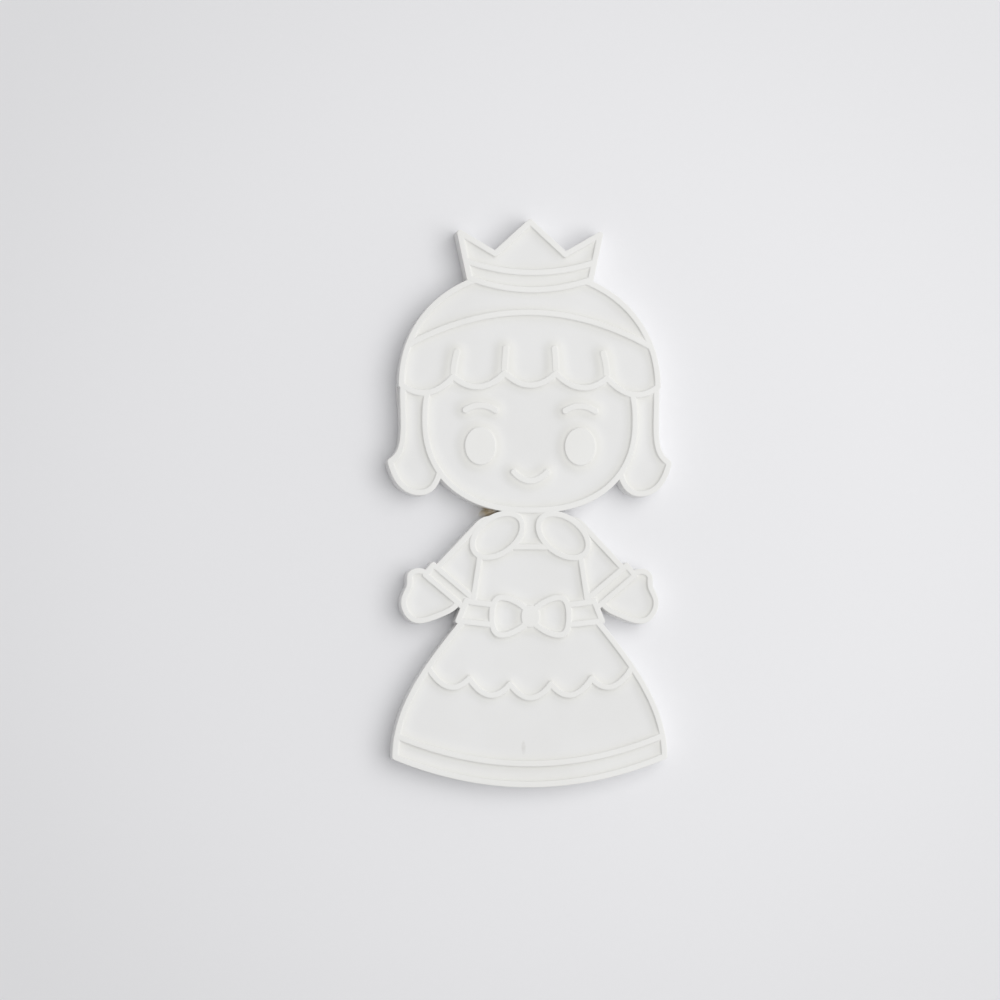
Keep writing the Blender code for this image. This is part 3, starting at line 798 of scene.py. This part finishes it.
def field_rise(doll, rings):
    """Height map of the fields, as its lower corner and an array of cells.

    Each bit of line in the open lifts what is round it by a Gaussian bell. The bits are
    counted into cells and the counts blurred in the frequency plane, so that a straight
    line gives exp(-d^2 / 2 reach^2) at a distance d. A tanh keeps corners from piling up.
    """
    line = doll.line
    points, lengths = [], []
    for name in set(rings).difference(WHOLES):
        ring = rings[name]
        shown = hidden_share(ring, FRONTS.get(name, ()), rings, line.width) < 0.5
        points.append(ring[shown])
        lengths.append(np.hypot(*(np.roll(ring, -1, axis=0) - ring).T)[shown])
    points, lengths = np.concatenate(points), np.concatenate(lengths)
    margin = RISE_MARGIN * line.field_reach
    low = points.min(axis=0) - margin
    cells = np.ceil((points.max(axis=0) + margin - low) / CELL).astype(int)
    limits = np.stack([low, low + cells * CELL], axis=1)
    count = np.histogram2d(*points.T, bins=cells, range=limits, weights=lengths)[0]
    across, along = np.fft.fftfreq(cells[0], CELL)[:, None], np.fft.rfftfreq(cells[1], CELL)
    blur = np.exp(-2 * (math.pi * line.field_reach) ** 2 * (across ** 2 + along ** 2))
    blurred = np.fft.irfft2(np.fft.rfft2(count / CELL ** 2) * blur, s=cells)
    return low, line.field_rise * np.tanh(blurred * math.sqrt(2 * math.pi) * line.field_reach)


def rise_at(points, rise):
    """Height map read at points, weighted between its four nearest cells."""
    low, cells = rise
    spot = np.clip((points - low) / CELL - 0.5, 0, np.array(cells.shape) - 1 - SAME_POINT)
    cell = spot.astype(int)
    x, y = cell.T
    u, v = (spot - cell).T
    return (cells[x, y] * (1 - u) * (1 - v) + cells[x + 1, y] * u * (1 - v)
            + cells[x, y + 1] * (1 - u) * v + cells[x + 1, y + 1] * u * v)


def lifted(grid, field, top, rise):
    """Grid lifted with its field: in full at the field's level, fading to nothing at the line's top."""
    points = grid.reshape(-1, 3)
    height = points[:, 2]
    part = np.clip((top - height) / (top - field), 0, 1) * (height > (JOINT + field) / 2)
    lift = part * rise_at(points[:, :2], rise)
    return np.column_stack([points[:, :2], height + lift]).reshape(grid.shape)


def sloped_side(edge, base, top, slope, foot_radius, edge_radius):
    """Offsets and levels up one side of a line.

    A fillet, a straight ramp through the edge and a rounded corner follow one another.
    Both arcs turn through the ramp's slope, so the three meet without a kink.
    """
    turn = np.linspace(0, slope, ARC_STEPS + 1)
    climb = top - base - (foot_radius + edge_radius) * (1 - math.cos(slope))
    half_run = climb / math.tan(slope) / 2
    foot = edge + half_run + foot_radius * math.sin(slope)
    shoulder = edge - half_run - edge_radius * math.sin(slope)
    back = turn[::-1]
    fillet = foot - foot_radius * np.sin(turn), base + foot_radius * (1 - np.cos(turn))
    corner = shoulder + edge_radius * np.sin(back), top - edge_radius * (1 - np.cos(back))
    offsets, levels = np.concatenate([fillet, corner], axis=1)
    return offsets, levels


def line_side(line, base, top, edge=0.0):
    """Offsets and levels up a side that has the slope and the roundings of the raised line."""
    return sloped_side(edge, base, top, line.slope, line.foot_radius, line.edge_radius)


def outer_profile(edge, foot, base, top, line, side, rest):
    """Offsets and levels up the outer side of a line, from its foot to its top.

    Where it rests on a field, the given side is used, with its fillet's edge buried. Where
    it is the doll's own edge, a straight wall and a small rounding take its place.
    """
    offsets, levels = side
    free_offsets, free_levels = sloped_side(edge, base, top, math.pi / 2, 0.0, line.free_radius)
    buried = base - line.bury
    resting = np.concatenate([(edge, edge, offsets[0]), offsets])
    free = np.concatenate([(edge, edge, edge), free_offsets])
    rest = np.broadcast_to(rest, np.shape(rest) or (1,))
    free_levels = np.concatenate([(foot, buried, buried), free_levels])
    resting_levels = np.concatenate([(foot, buried, buried), levels])
    offsets = free[:, None] + (resting - free)[:, None] * rest
    levels = free_levels[:, None] + (resting_levels - free_levels)[:, None] * rest
    return list(offsets), list(levels)


def resting_share(name, ring, offset, doll, rings):
    """1 where a piece's outer side rests on a field behind it, 0 where it is the doll's own edge."""
    behind = [piece for piece, before in FRONTS.items() if name in before]
    return hidden_share(rail(ring, offset), behind, rings, doll.line.width)


def tray_surface(name, doll, rings, rise):
    """A piece's raised line and sunken field.

    The profile climbs the outer side of the line, runs over its top and down its inner
    side to the field. Where the piece lies under another, all above its field is pressed
    down to the field's level, and that a little lower still.
    """
    line, ring = doll.line, rings[name]
    drop = layer(name) * line.layer_step
    edge = line.width / 2 - drop
    top, field = LINE_TOP - drop, FIELD - drop
    side = line_side(line, field, top, edge)
    rest = resting_share(name, ring, side[0][0], doll, rings)
    offsets, levels = outer_profile(edge, JOINT, field, top, line, side, rest)
    offsets += list(-side[0][::-1])
    levels += list(side[1][::-1])

    grid = carried(ring, offsets, levels)
    surfaces = [shell(lifted(grid, field, top, rise), False), field_surface(grid[-1, :, :2], field, rise)]
    points, faces = joined(surfaces)
    hidden = hidden_share(points[:, :2], FRONTS.get(name, ()), rings, line.width)
    flat = np.minimum(points[:, 2], field + rise_at(points[:, :2], rise)) - line.bury
    foot = points[:, 2] < (JOINT + field) / 2
    points[:, 2] += np.where(foot, 0, flat - points[:, 2]) * hidden
    return points, faces


def pad_surface(name, foot, base, top, side, doll, rings, rise):
    """A small raised piece: a side carried round it, and a flat top with a rim of its own."""
    line, ring = doll.line, rings[name]
    behind = any(name in before for before in FRONTS.values())
    rest = resting_share(name, ring, side[0][0], doll, rings) if behind else 1.0
    offsets, levels = outer_profile(0.0, foot, base, top, line, side, rest)
    offsets.append(side[0][-1] - line.pad_radius / 2)
    levels.append(top)
    return shell(lifted(carried(ring, offsets, levels), base, top, rise), True)


def field_surface(edge, level, rise):
    """Points and triangles of a field: a staggered lattice inside its edge, lifted by the height map."""
    low, high = edge.min(axis=0), edge.max(axis=0)
    x, y = np.meshgrid(np.arange(low[0], high[0], FIELD_STEP), np.arange(low[1], high[1], FIELD_STEP))
    x[1::2] += FIELD_STEP / 2
    lattice = np.column_stack([x.ravel(), y.ravel()])
    lattice = lattice[inside(lattice, edge)]
    lattice = lattice[nearest(lattice, edge) > FIELD_STEP / 2]
    points = [Vector(point) for point in np.concatenate([edge, lattice]) / MILLIMETRE]
    made = delaunay_2d_cdt(points, [], [list(range(len(edge)))], 1, SAME_POINT / MILLIMETRE)
    points = np.array([tuple(point) for point in made[0]]) * MILLIMETRE
    return np.column_stack([points, level + rise_at(points, rise)]), made[2]


def plate_grid(ring, doll):
    """The plate: a quarter circle from its back to its side, and the side up to the front pieces."""
    radius = doll.line.back_radius
    turn = np.linspace(0, math.pi / 2, ARC_STEPS + 1)
    offsets = [-BACK_RIM * radius, *(radius * (np.sin(turn) - 1)), 0.0]
    levels = [0.0, *(radius * (1 - np.cos(turn))), JOINT]
    return carried(ring, offsets, levels)


def residue_surface(doll):
    """A dried drop: turned ellipses that shrink by t as they rise by (1 - t^2)^2, thin at the rim."""
    finish = doll.finish
    across, along, up = finish.residue_reach
    ring = turned(ellipse((0, 0), DROP_WIDTH * across, DROP_WIDTH * along), finish.residue_turn)
    t = np.linspace(1, 0, DOME_STEPS, endpoint=False)[:, None, None]
    rows = ring * t + np.array(finish.residue_place[:2])
    levels = np.broadcast_to(doll.line.layer_step + up * (1 - t ** 2) ** 2, rows[..., :1].shape)
    return shell(np.concatenate([rows, levels], axis=2), True)


def united(rings):
    """Outline of overlapping rings taken together.

    The rings are triangulated as one. Of the triangles' edges, those that no neighbour
    runs back along make the outline, and each one's place in it is found by doubling:
    a point's count of steps to the end grows by the count of the point it has reached.
    """
    ends = np.cumsum([len(ring) for ring in rings])
    faces = [list(range(end - len(ring), end)) for ring, end in zip(rings, ends)]
    points = [Vector(point) for point in np.concatenate(rings) / MILLIMETRE]
    made = delaunay_2d_cdt(points, [], faces, 1, SAME_POINT / MILLIMETRE)
    corners = np.array([tuple(point) for point in made[0]]) * MILLIMETRE
    triangles = np.array([face for face, owners in zip(made[2], made[5]) if owners])
    start, end = triangles.ravel(), np.roll(triangles, -1, axis=1).ravel()
    alone = ~np.isin(end * len(corners) + start, start * len(corners) + end)
    start, end = start[alone], end[alone]

    following = np.arange(len(corners))
    following[start] = end
    following[start[end == start[0]]] = start[end == start[0]]
    steps = (following != np.arange(len(corners))).astype(int)
    for _ in range(int(math.log2(len(corners))) + 1):
        steps = steps + steps[following]
        following = following[following]
    if steps[start[0]] + 1 != len(start):
        raise ValueError("the plate's outline has a hole in it")
    loop = start[np.argsort(-steps[start])]
    return closed(corners[loop], least=CURVE_STEP / 10)


# Meshes, finish and objects

def shell(grid, lid):
    """Points and faces of a grid of rings.

    Quads join neighbouring rings, and a flat end closes the first and, with a lid, the last.
    """
    rows, count = grid.shape[:2]
    index = np.arange(rows * count).reshape(rows, count)
    ahead = np.roll(index, -1, axis=1)
    quads = np.stack([index[:-1], ahead[:-1], ahead[1:], index[1:]], axis=-1).reshape(-1, 4)
    ends = [index[0, ::-1].tolist()] + [index[-1].tolist()] * lid
    return grid.reshape(-1, 3), quads.tolist() + ends


def joined(surfaces):
    """Several surfaces' points and faces as one."""
    parts, faces = zip(*surfaces)
    starts = np.cumsum([0] + [len(part) for part in parts])
    moved = [[corner + start for corner in face] for start, some in zip(starts, faces) for face in some]
    return np.concatenate(parts), moved


def weld(mesh):
    """Join points that fall on one another, as round a corner, and drop faces left without area."""
    work = bmesh.new()
    work.from_mesh(mesh)
    bmesh.ops.remove_doubles(work, verts=work.verts, dist=10 * SAME_POINT)
    bmesh.ops.dissolve_degenerate(work, edges=work.edges, dist=SAME_POINT)
    work.to_mesh(mesh)
    work.free()


def add_piece(node, surface, doll):
    """One finished piece in place of its CAD node."""
    points, faces = surface
    mesh = bpy.data.meshes.new(f"moulded_{node}")
    mesh.from_pydata(points.tolist(), [], faces)
    weld(mesh)
    mesh.shade_smooth()
    mesh.set_sharp_from_angle(angle=SHARP)
    mesh.materials.append(bare_plastic(doll))
    made = bpy.data.objects.new(mesh.name, mesh)
    bpy.context.scene.collection.objects.link(made)
    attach(made, BODY)
    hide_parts(node)
    return made


def add_trays(names, doll):
    """The trays of these names."""
    rings = outlines(doll)
    rise = field_rise(doll, rings)
    for name in names:
        add_piece(name, tray_surface(name, doll, rings, rise), doll)


def add_face_pads(doll):
    """Eyes, brows and mouth, set on the face's field."""
    rings, line = outlines(doll), doll.line
    rise = field_rise(doll, rings)
    base = FIELD - layer("face") * line.layer_step
    foot = base - 2 * line.bury
    eye_side = sloped_side(0.0, base, LINE_TOP, line.pad_slope, line.foot_radius, line.pad_radius)
    for name in PADS:
        if name != "knot":
            side = eye_side if name.endswith("eye") else line_side(line, base, LINE_TOP)
            add_piece(name, pad_surface(name, foot, base, LINE_TOP, side, doll, rings, rise), doll)


def add_node(tree, kind, inputs=(), **settings):
    """New shader node with its settings made and its inputs set or linked."""
    made = tree.nodes.new(kind)
    for key, value in settings.items():
        setattr(made, key, value)
    for key, value in dict(inputs).items():
        if isinstance(value, bpy.types.NodeSocket):
            tree.links.new(value, made.inputs[key])
        else:
            made.inputs[key].default_value = value
    return made


def computed(tree, operation, *values):
    """Output of a Math node."""
    return add_node(tree, "ShaderNodeMath", dict(enumerate(values)), operation=operation).outputs[0]


def directed(tree, operation, *values):
    """Output of a Vector Math node: a number for a length or a dot product, and otherwise a vector."""
    made = add_node(tree, "ShaderNodeVectorMath", dict(enumerate(values)), operation=operation)
    return made.outputs["Value" if operation in ("LENGTH", "DOT_PRODUCT") else "Vector"]


def ranged(tree, value, low, high, start=0.0, end=1.0, **settings):
    """A value from low to high brought to one from start to end, and held at those outside."""
    inputs = dict(enumerate((value, low, high, start, end)))
    return add_node(tree, "ShaderNodeMapRange", inputs, **settings).outputs[0]


def noise(tree, spot, scale, detail):
    """Noise at a spot, 0.5 on average."""
    inputs = {"Vector": spot, "Scale": scale, "Detail": detail}
    return add_node(tree, "ShaderNodeTexNoise", inputs).outputs[0]


def opaque(shade):
    """A colour as the nodes take it."""
    return (*shade, 1.0)


def mixed(tree, amount, under, over, **settings):
    """Two colours mixed by an amount."""
    inputs = {0: amount, 6: under, 7: over}
    return add_node(tree, "ShaderNodeMix", inputs, data_type="RGBA", **settings).outputs[2]


def blank_material(name):
    """New material with an empty node tree, that tree, and the place that its nodes start from."""
    made = bpy.data.materials.new(name)
    made.use_nodes = True
    tree = made.node_tree
    tree.nodes.clear()
    return made, tree, add_node(tree, "ShaderNodeTexCoord").outputs["Object"]


def bare_plastic(doll):
    """Bare off-white plastic, with a painted highlight on the lines' tops and painted warm shade at their
    feet.

    The colour runs with the height from the field's own tone to painted crease shade to the painted
    line-top highlight. Faint clouds tint it, and stained patches lie in the notch under the chin and by the
    hem.
    """
    name = "bare_white_plastic"
    if name in bpy.data.materials:
        return bpy.data.materials[name]
    made, tree, spot = blank_material(name)
    finish = doll.finish
    height = add_node(tree, "ShaderNodeSeparateXYZ", {0: spot}).outputs["Z"]
    clouds = noise(tree, spot, *CLOUDS)
    patches = ranged(tree, noise(tree, spot, *PATCHES), *PATCH_RANGE, LEAST_PATCH)

    def mark(middle, reach):
        """Patches that are full in the inner part of a mark and fade to nothing at its reach."""
        away = directed(tree, "DIVIDE", directed(tree, "SUBTRACT", spot, middle), reach)
        near = ranged(tree, directed(tree, "LENGTH", away), 1.0, FULL_MARK)
        return computed(tree, "MULTIPLY", near, patches)

    # Painted light: the colour follows the height, from the field's own tone to painted shade at the lines'
    # feet and a painted highlight on their tops.
    ramp = add_node(tree, "ShaderNodeValToRGB", {0: ranged(tree, height, FIELD, LINE_TOP)})
    ramp.color_ramp.elements.new(0.5)
    for stop, shade in zip(ramp.color_ramp.elements, (finish.field, finish.crease_painted_shade, finish.line)):
        stop.color = opaque(shade)

    cloudy = ranged(tree, clouds, *CLOUD_RANGE)
    tint = mixed(tree, cloudy, ramp.outputs[0], opaque(finish.mottle), blend_type="MULTIPLY")
    off_back = ranged(tree, height, 0.0, doll.line.bury)
    stain = computed(tree, "MULTIPLY", mark(finish.residue_place, finish.residue_reach), off_back)
    tint = mixed(tree, stain, tint, opaque(finish.residue))
    tint = mixed(tree, mark(finish.smudge_place, finish.smudge_reach), tint, opaque(finish.smudge))

    smoothest, roughest = finish.roughness - ROUGHNESS_SPREAD, finish.roughness + ROUGHNESS_SPREAD
    swell = add_node(tree, "ShaderNodeBump", {"Height": noise(tree, spot, *SWELL), **SWELL_BUMP})
    grain = add_node(tree, "ShaderNodeBump", {
        "Height": noise(tree, spot, *GRAIN), "Normal": swell.outputs[0], **GRAIN_BUMP})
    shader = add_node(tree, "ShaderNodeBsdfPrincipled", {
        "Base Color": tint, "Roughness": ranged(tree, clouds, 0.0, 1.0, smoothest, roughest),
        "Normal": grain.outputs[0], "IOR": PLASTIC_IOR})
    add_node(tree, "ShaderNodeOutputMaterial", {"Surface": shader.outputs[0]})
    return made


def pale_floor(doll):
    """Pale matt table top with a trace of unevenness, and painted shade that darkens it away from the doll.
    """
    made, tree, spot = blank_material("pale_floor")
    stage = doll.stage
    away = directed(tree, "LENGTH", spot)
    # Painted shade: 0 near the doll, rising to 1 far out, where the floor is painted darker.
    far = ranged(tree, away, stage.near, stage.far, interpolation_type="SMOOTHSTEP")
    speck_and_painted_shade = computed(tree, "MULTIPLY_ADD", noise(tree, spot, *PATCHES), FLOOR_SPECK, far)
    tint = mixed(tree, speck_and_painted_shade, opaque(stage.floor), opaque(stage.far_floor_painted_shade))
    shader = add_node(tree, "ShaderNodeBsdfPrincipled", {"Base Color": tint, "Roughness": FLOOR_ROUGHNESS})
    add_node(tree, "ShaderNodeOutputMaterial", {"Surface": shader.outputs[0]})
    return made


def add_floor(doll):
    """The table top just under the doll's back."""
    half = doll.stage.floor_size / 2
    corners = [(-half, -half, 0), (half, -half, 0), (half, half, 0), (-half, half, 0)]
    mesh = bpy.data.meshes.new("floor")
    mesh.from_pydata(corners, [], [(0, 1, 2, 3)])
    mesh.materials.append(pale_floor(doll))
    floor = bpy.data.objects.new("floor", mesh)
    floor.location.z = -SAME_POINT
    bpy.context.scene.collection.objects.link(floor)


def aimed(origin, target, up):
    """Matrix at origin that looks along its -Z at a target, with its Y as near to up as can be."""
    back = (origin - target).normalized()
    right = up.cross(back).normalized()
    axes = Matrix((right, back.cross(right), back)).transposed()
    return Matrix.Translation(origin) @ axes.to_4x4()


def add_lights(doll):
    """One broad lamp to the right, and light from all round that leans towards it.

    What the camera, glossy and see-through rays meet is the plain pale of the floor.
    """
    stage = doll.stage
    lamp = bpy.data.lights.new("soft_lamp", "AREA")
    lamp.shape = "RECTANGLE"
    lamp.size = stage.key_width
    lamp.size_y = stage.key_height
    lamp.energy = stage.key_power
    key = bpy.data.objects.new("soft_lamp", lamp)
    level = Vector((math.cos(stage.key_azimuth), math.sin(stage.key_azimuth), 0))
    way = level * math.cos(stage.key_elevation) + Vector((0, 0, math.sin(stage.key_elevation)))
    key.matrix_world = aimed(way * stage.key_distance, Vector((0, 0, 0)), Vector((0, 0, 1)))
    bpy.context.scene.collection.objects.link(key)

    world = bpy.data.worlds.new("studio")
    world.use_nodes = True
    tree = world.node_tree
    tree.nodes.clear()
    path = add_node(tree, "ShaderNodeLightPath").outputs
    seen = computed(tree, "MAXIMUM", path["Is Camera Ray"], path["Is Glossy Ray"])
    seen = computed(tree, "MAXIMUM", seen, path["Is Transmission Ray"])
    outward = add_node(tree, "ShaderNodeTexCoord").outputs["Generated"]
    dim, bright = stage.sky * (1 - stage.sky_lean), stage.sky * (1 + stage.sky_lean)
    strength = ranged(tree, directed(tree, "DOT_PRODUCT", outward, level), -1.0, 1.0, dim, bright)
    even = add_node(tree, "ShaderNodeBackground", {"Color": (1, 1, 1, 1), "Strength": strength})
    pale = add_node(tree, "ShaderNodeBackground", {"Color": opaque(stage.floor), "Strength": 1.0})
    mix = add_node(tree, "ShaderNodeMixShader", {0: seen, 1: even.outputs[0], 2: pale.outputs[0]})
    add_node(tree, "ShaderNodeOutputWorld", {"Surface": mix.outputs[0]})
    bpy.context.scene.world = world


def add_camera(doll):
    """Camera almost straight above, leaning a little to the left and towards the hem."""
    data = bpy.data.cameras.new("camera")
    data.lens = doll.stage.lens
    data.sensor_width = FILM_WIDTH
    data.clip_start, data.clip_end = CLIPPING
    camera = bpy.data.objects.new("camera", data)
    aim = Vector(doll.stage.aim)
    camera.matrix_world = aimed(aim + Vector(doll.stage.eye), aim, Vector((0, 1, 0)))
    bpy.context.scene.collection.objects.link(camera)
    bpy.context.scene.camera = camera


class RELIEFDOLL_OT_back_plate(Operator):
    """Add the plate under everything, with the outline of all the pieces together"""
    bl_idname = "relief_doll.back_plate"
    bl_label = "Back Plate"

    def execute(self, context):
        doll = context.scene.relief_doll
        rings = outlines(doll)
        parts = ("sash", "collar", "sleeve", "cuff", "hand", "lock")
        names = ["gown", "head", "bodice", "neck", "face", "crown_band", "crown"]
        names += [f"{side}_{part}" for side in SIDES for part in parts]
        outline = united([closed(rail(rings[name], doll.line.width / 2)) for name in names])
        plate = shell(plate_grid(outline, doll), True)
        add_piece("back_plate", joined([plate, residue_surface(doll)]), doll)
        return {"FINISHED"}


class RELIEFDOLL_OT_crown(Operator):
    """Add the crown and its band"""
    bl_idname = "relief_doll.crown"
    bl_label = "Crown"

    def execute(self, context):
        add_trays(("crown_band", "crown"), context.scene.relief_doll)
        return {"FINISHED"}


class RELIEFDOLL_OT_hair(Operator):
    """Add the fringe with its strands, the side locks and the cap of hair"""
    bl_idname = "relief_doll.hair"
    bl_label = "Hair"

    def execute(self, context):
        doll = context.scene.relief_doll
        rings, line = outlines(doll), doll.line
        rise = field_rise(doll, rings)
        foot, top = FIELD - 2 * line.bury, LINE_TOP - line.strand_drop
        side = line_side(line, FIELD, top)
        surfaces = [tray_surface("fringe", doll, rings, rise)]
        for name in rings:
            if name.startswith("strand"):
                surfaces.append(pad_surface(name, foot, FIELD, top, side, doll, rings, rise))
        add_piece("fringe", joined(surfaces), doll)
        add_trays(("right_lock", "left_lock", "hair_cap"), doll)
        return {"FINISHED"}


class RELIEFDOLL_OT_face(Operator):
    """Add the face with its eyes, brows and mouth"""
    bl_idname = "relief_doll.face"
    bl_label = "Face"

    def execute(self, context):
        doll = context.scene.relief_doll
        add_trays(("face",), doll)
        add_face_pads(doll)
        return {"FINISHED"}


class RELIEFDOLL_OT_bow(Operator):
    """Add the knot, the bow's loops and the sash ends"""
    bl_idname = "relief_doll.bow"
    bl_label = "Bow and Sash"

    def execute(self, context):
        doll = context.scene.relief_doll
        rings = outlines(doll)
        rise = field_rise(doll, rings)
        knot_side = line_side(doll.line, FIELD, LINE_TOP)
        add_piece("knot", pad_surface("knot", JOINT, FIELD, LINE_TOP, knot_side, doll, rings, rise), doll)
        add_trays([f"{side}_{part}" for part in ("bow_loop", "sash") for side in SIDES], doll)
        return {"FINISHED"}


class RELIEFDOLL_OT_bodice(Operator):
    """Add the collar, the bodice and the neck"""
    bl_idname = "relief_doll.bodice"
    bl_label = "Collar and Bodice"

    def execute(self, context):
        add_trays(("right_collar", "left_collar", "bodice", "neck"), context.scene.relief_doll)
        return {"FINISHED"}


class RELIEFDOLL_OT_skirt(Operator):
    """Add the overskirt, the hem band and the skirt"""
    bl_idname = "relief_doll.skirt"
    bl_label = "Skirt"

    def execute(self, context):
        add_trays(("overskirt", "hem_band", "skirt"), context.scene.relief_doll)
        return {"FINISHED"}


class RELIEFDOLL_OT_arms(Operator):
    """Add the cuffs, sleeves and hands"""
    bl_idname = "relief_doll.arms"
    bl_label = "Arms"

    def execute(self, context):
        names = [f"{side}_{part}" for part in ("cuff", "sleeve", "hand") for side in SIDES]
        add_trays(names, context.scene.relief_doll)
        return {"FINISHED"}


class RELIEFDOLL_OT_stage(Operator):
    """Add the floor, the light and the camera"""
    bl_idname = "relief_doll.stage"
    bl_label = "Stage"

    def execute(self, context):
        doll = context.scene.relief_doll
        context.scene.view_settings.view_transform = "Standard"
        add_floor(doll)
        add_lights(doll)
        add_camera(doll)
        return {"FINISHED"}


OPERATORS = (
    RELIEFDOLL_OT_back_plate, RELIEFDOLL_OT_crown, RELIEFDOLL_OT_hair,
    RELIEFDOLL_OT_face, RELIEFDOLL_OT_bow, RELIEFDOLL_OT_bodice,
    RELIEFDOLL_OT_skirt, RELIEFDOLL_OT_arms, RELIEFDOLL_OT_stage)


class RELIEFDOLL_PT_pieces(Panel):
    """The doll's pieces, its sizes and its stage"""
    bl_label = "Relief Doll"
    bl_idname = "RELIEFDOLL_PT_pieces"
    bl_space_type = "VIEW_3D"
    bl_region_type = "UI"
    bl_category = "Relief Doll"

    def draw(self, context):
        doll = context.scene.relief_doll
        for operator in OPERATORS:
            self.layout.operator(operator.bl_idname)
        for name in doll.__annotations__:
            group = getattr(doll, name)
            box = self.layout.box()
            for key in group.__annotations__:
                box.prop(group, key)


CLASSES = (
    LineSizes, GownSizes, BowSizes, CollarSizes, ArmSizes, FaceSizes, HeadSizes, CrownSizes, FinishSettings,
    StageSettings, DollSettings, *OPERATORS, RELIEFDOLL_PT_pieces)


def register():
    """Make the classes and the scene's settings known."""
    for made in CLASSES:
        bpy.utils.register_class(made)
    bpy.types.Scene.relief_doll = PointerProperty(type=DollSettings)


def unregister():
    """Take the scene's settings and the classes away again."""
    del bpy.types.Scene.relief_doll
    for made in reversed(CLASSES):
        bpy.utils.unregister_class(made)


def main():
    """Add every piece and the stage."""
    register()
    bpy.ops.relief_doll.back_plate()
    bpy.ops.relief_doll.crown()
    bpy.ops.relief_doll.hair()
    bpy.ops.relief_doll.face()
    bpy.ops.relief_doll.bow()
    bpy.ops.relief_doll.bodice()
    bpy.ops.relief_doll.skirt()
    bpy.ops.relief_doll.arms()
    bpy.ops.relief_doll.stage()


if __name__ == "__main__":
    main()
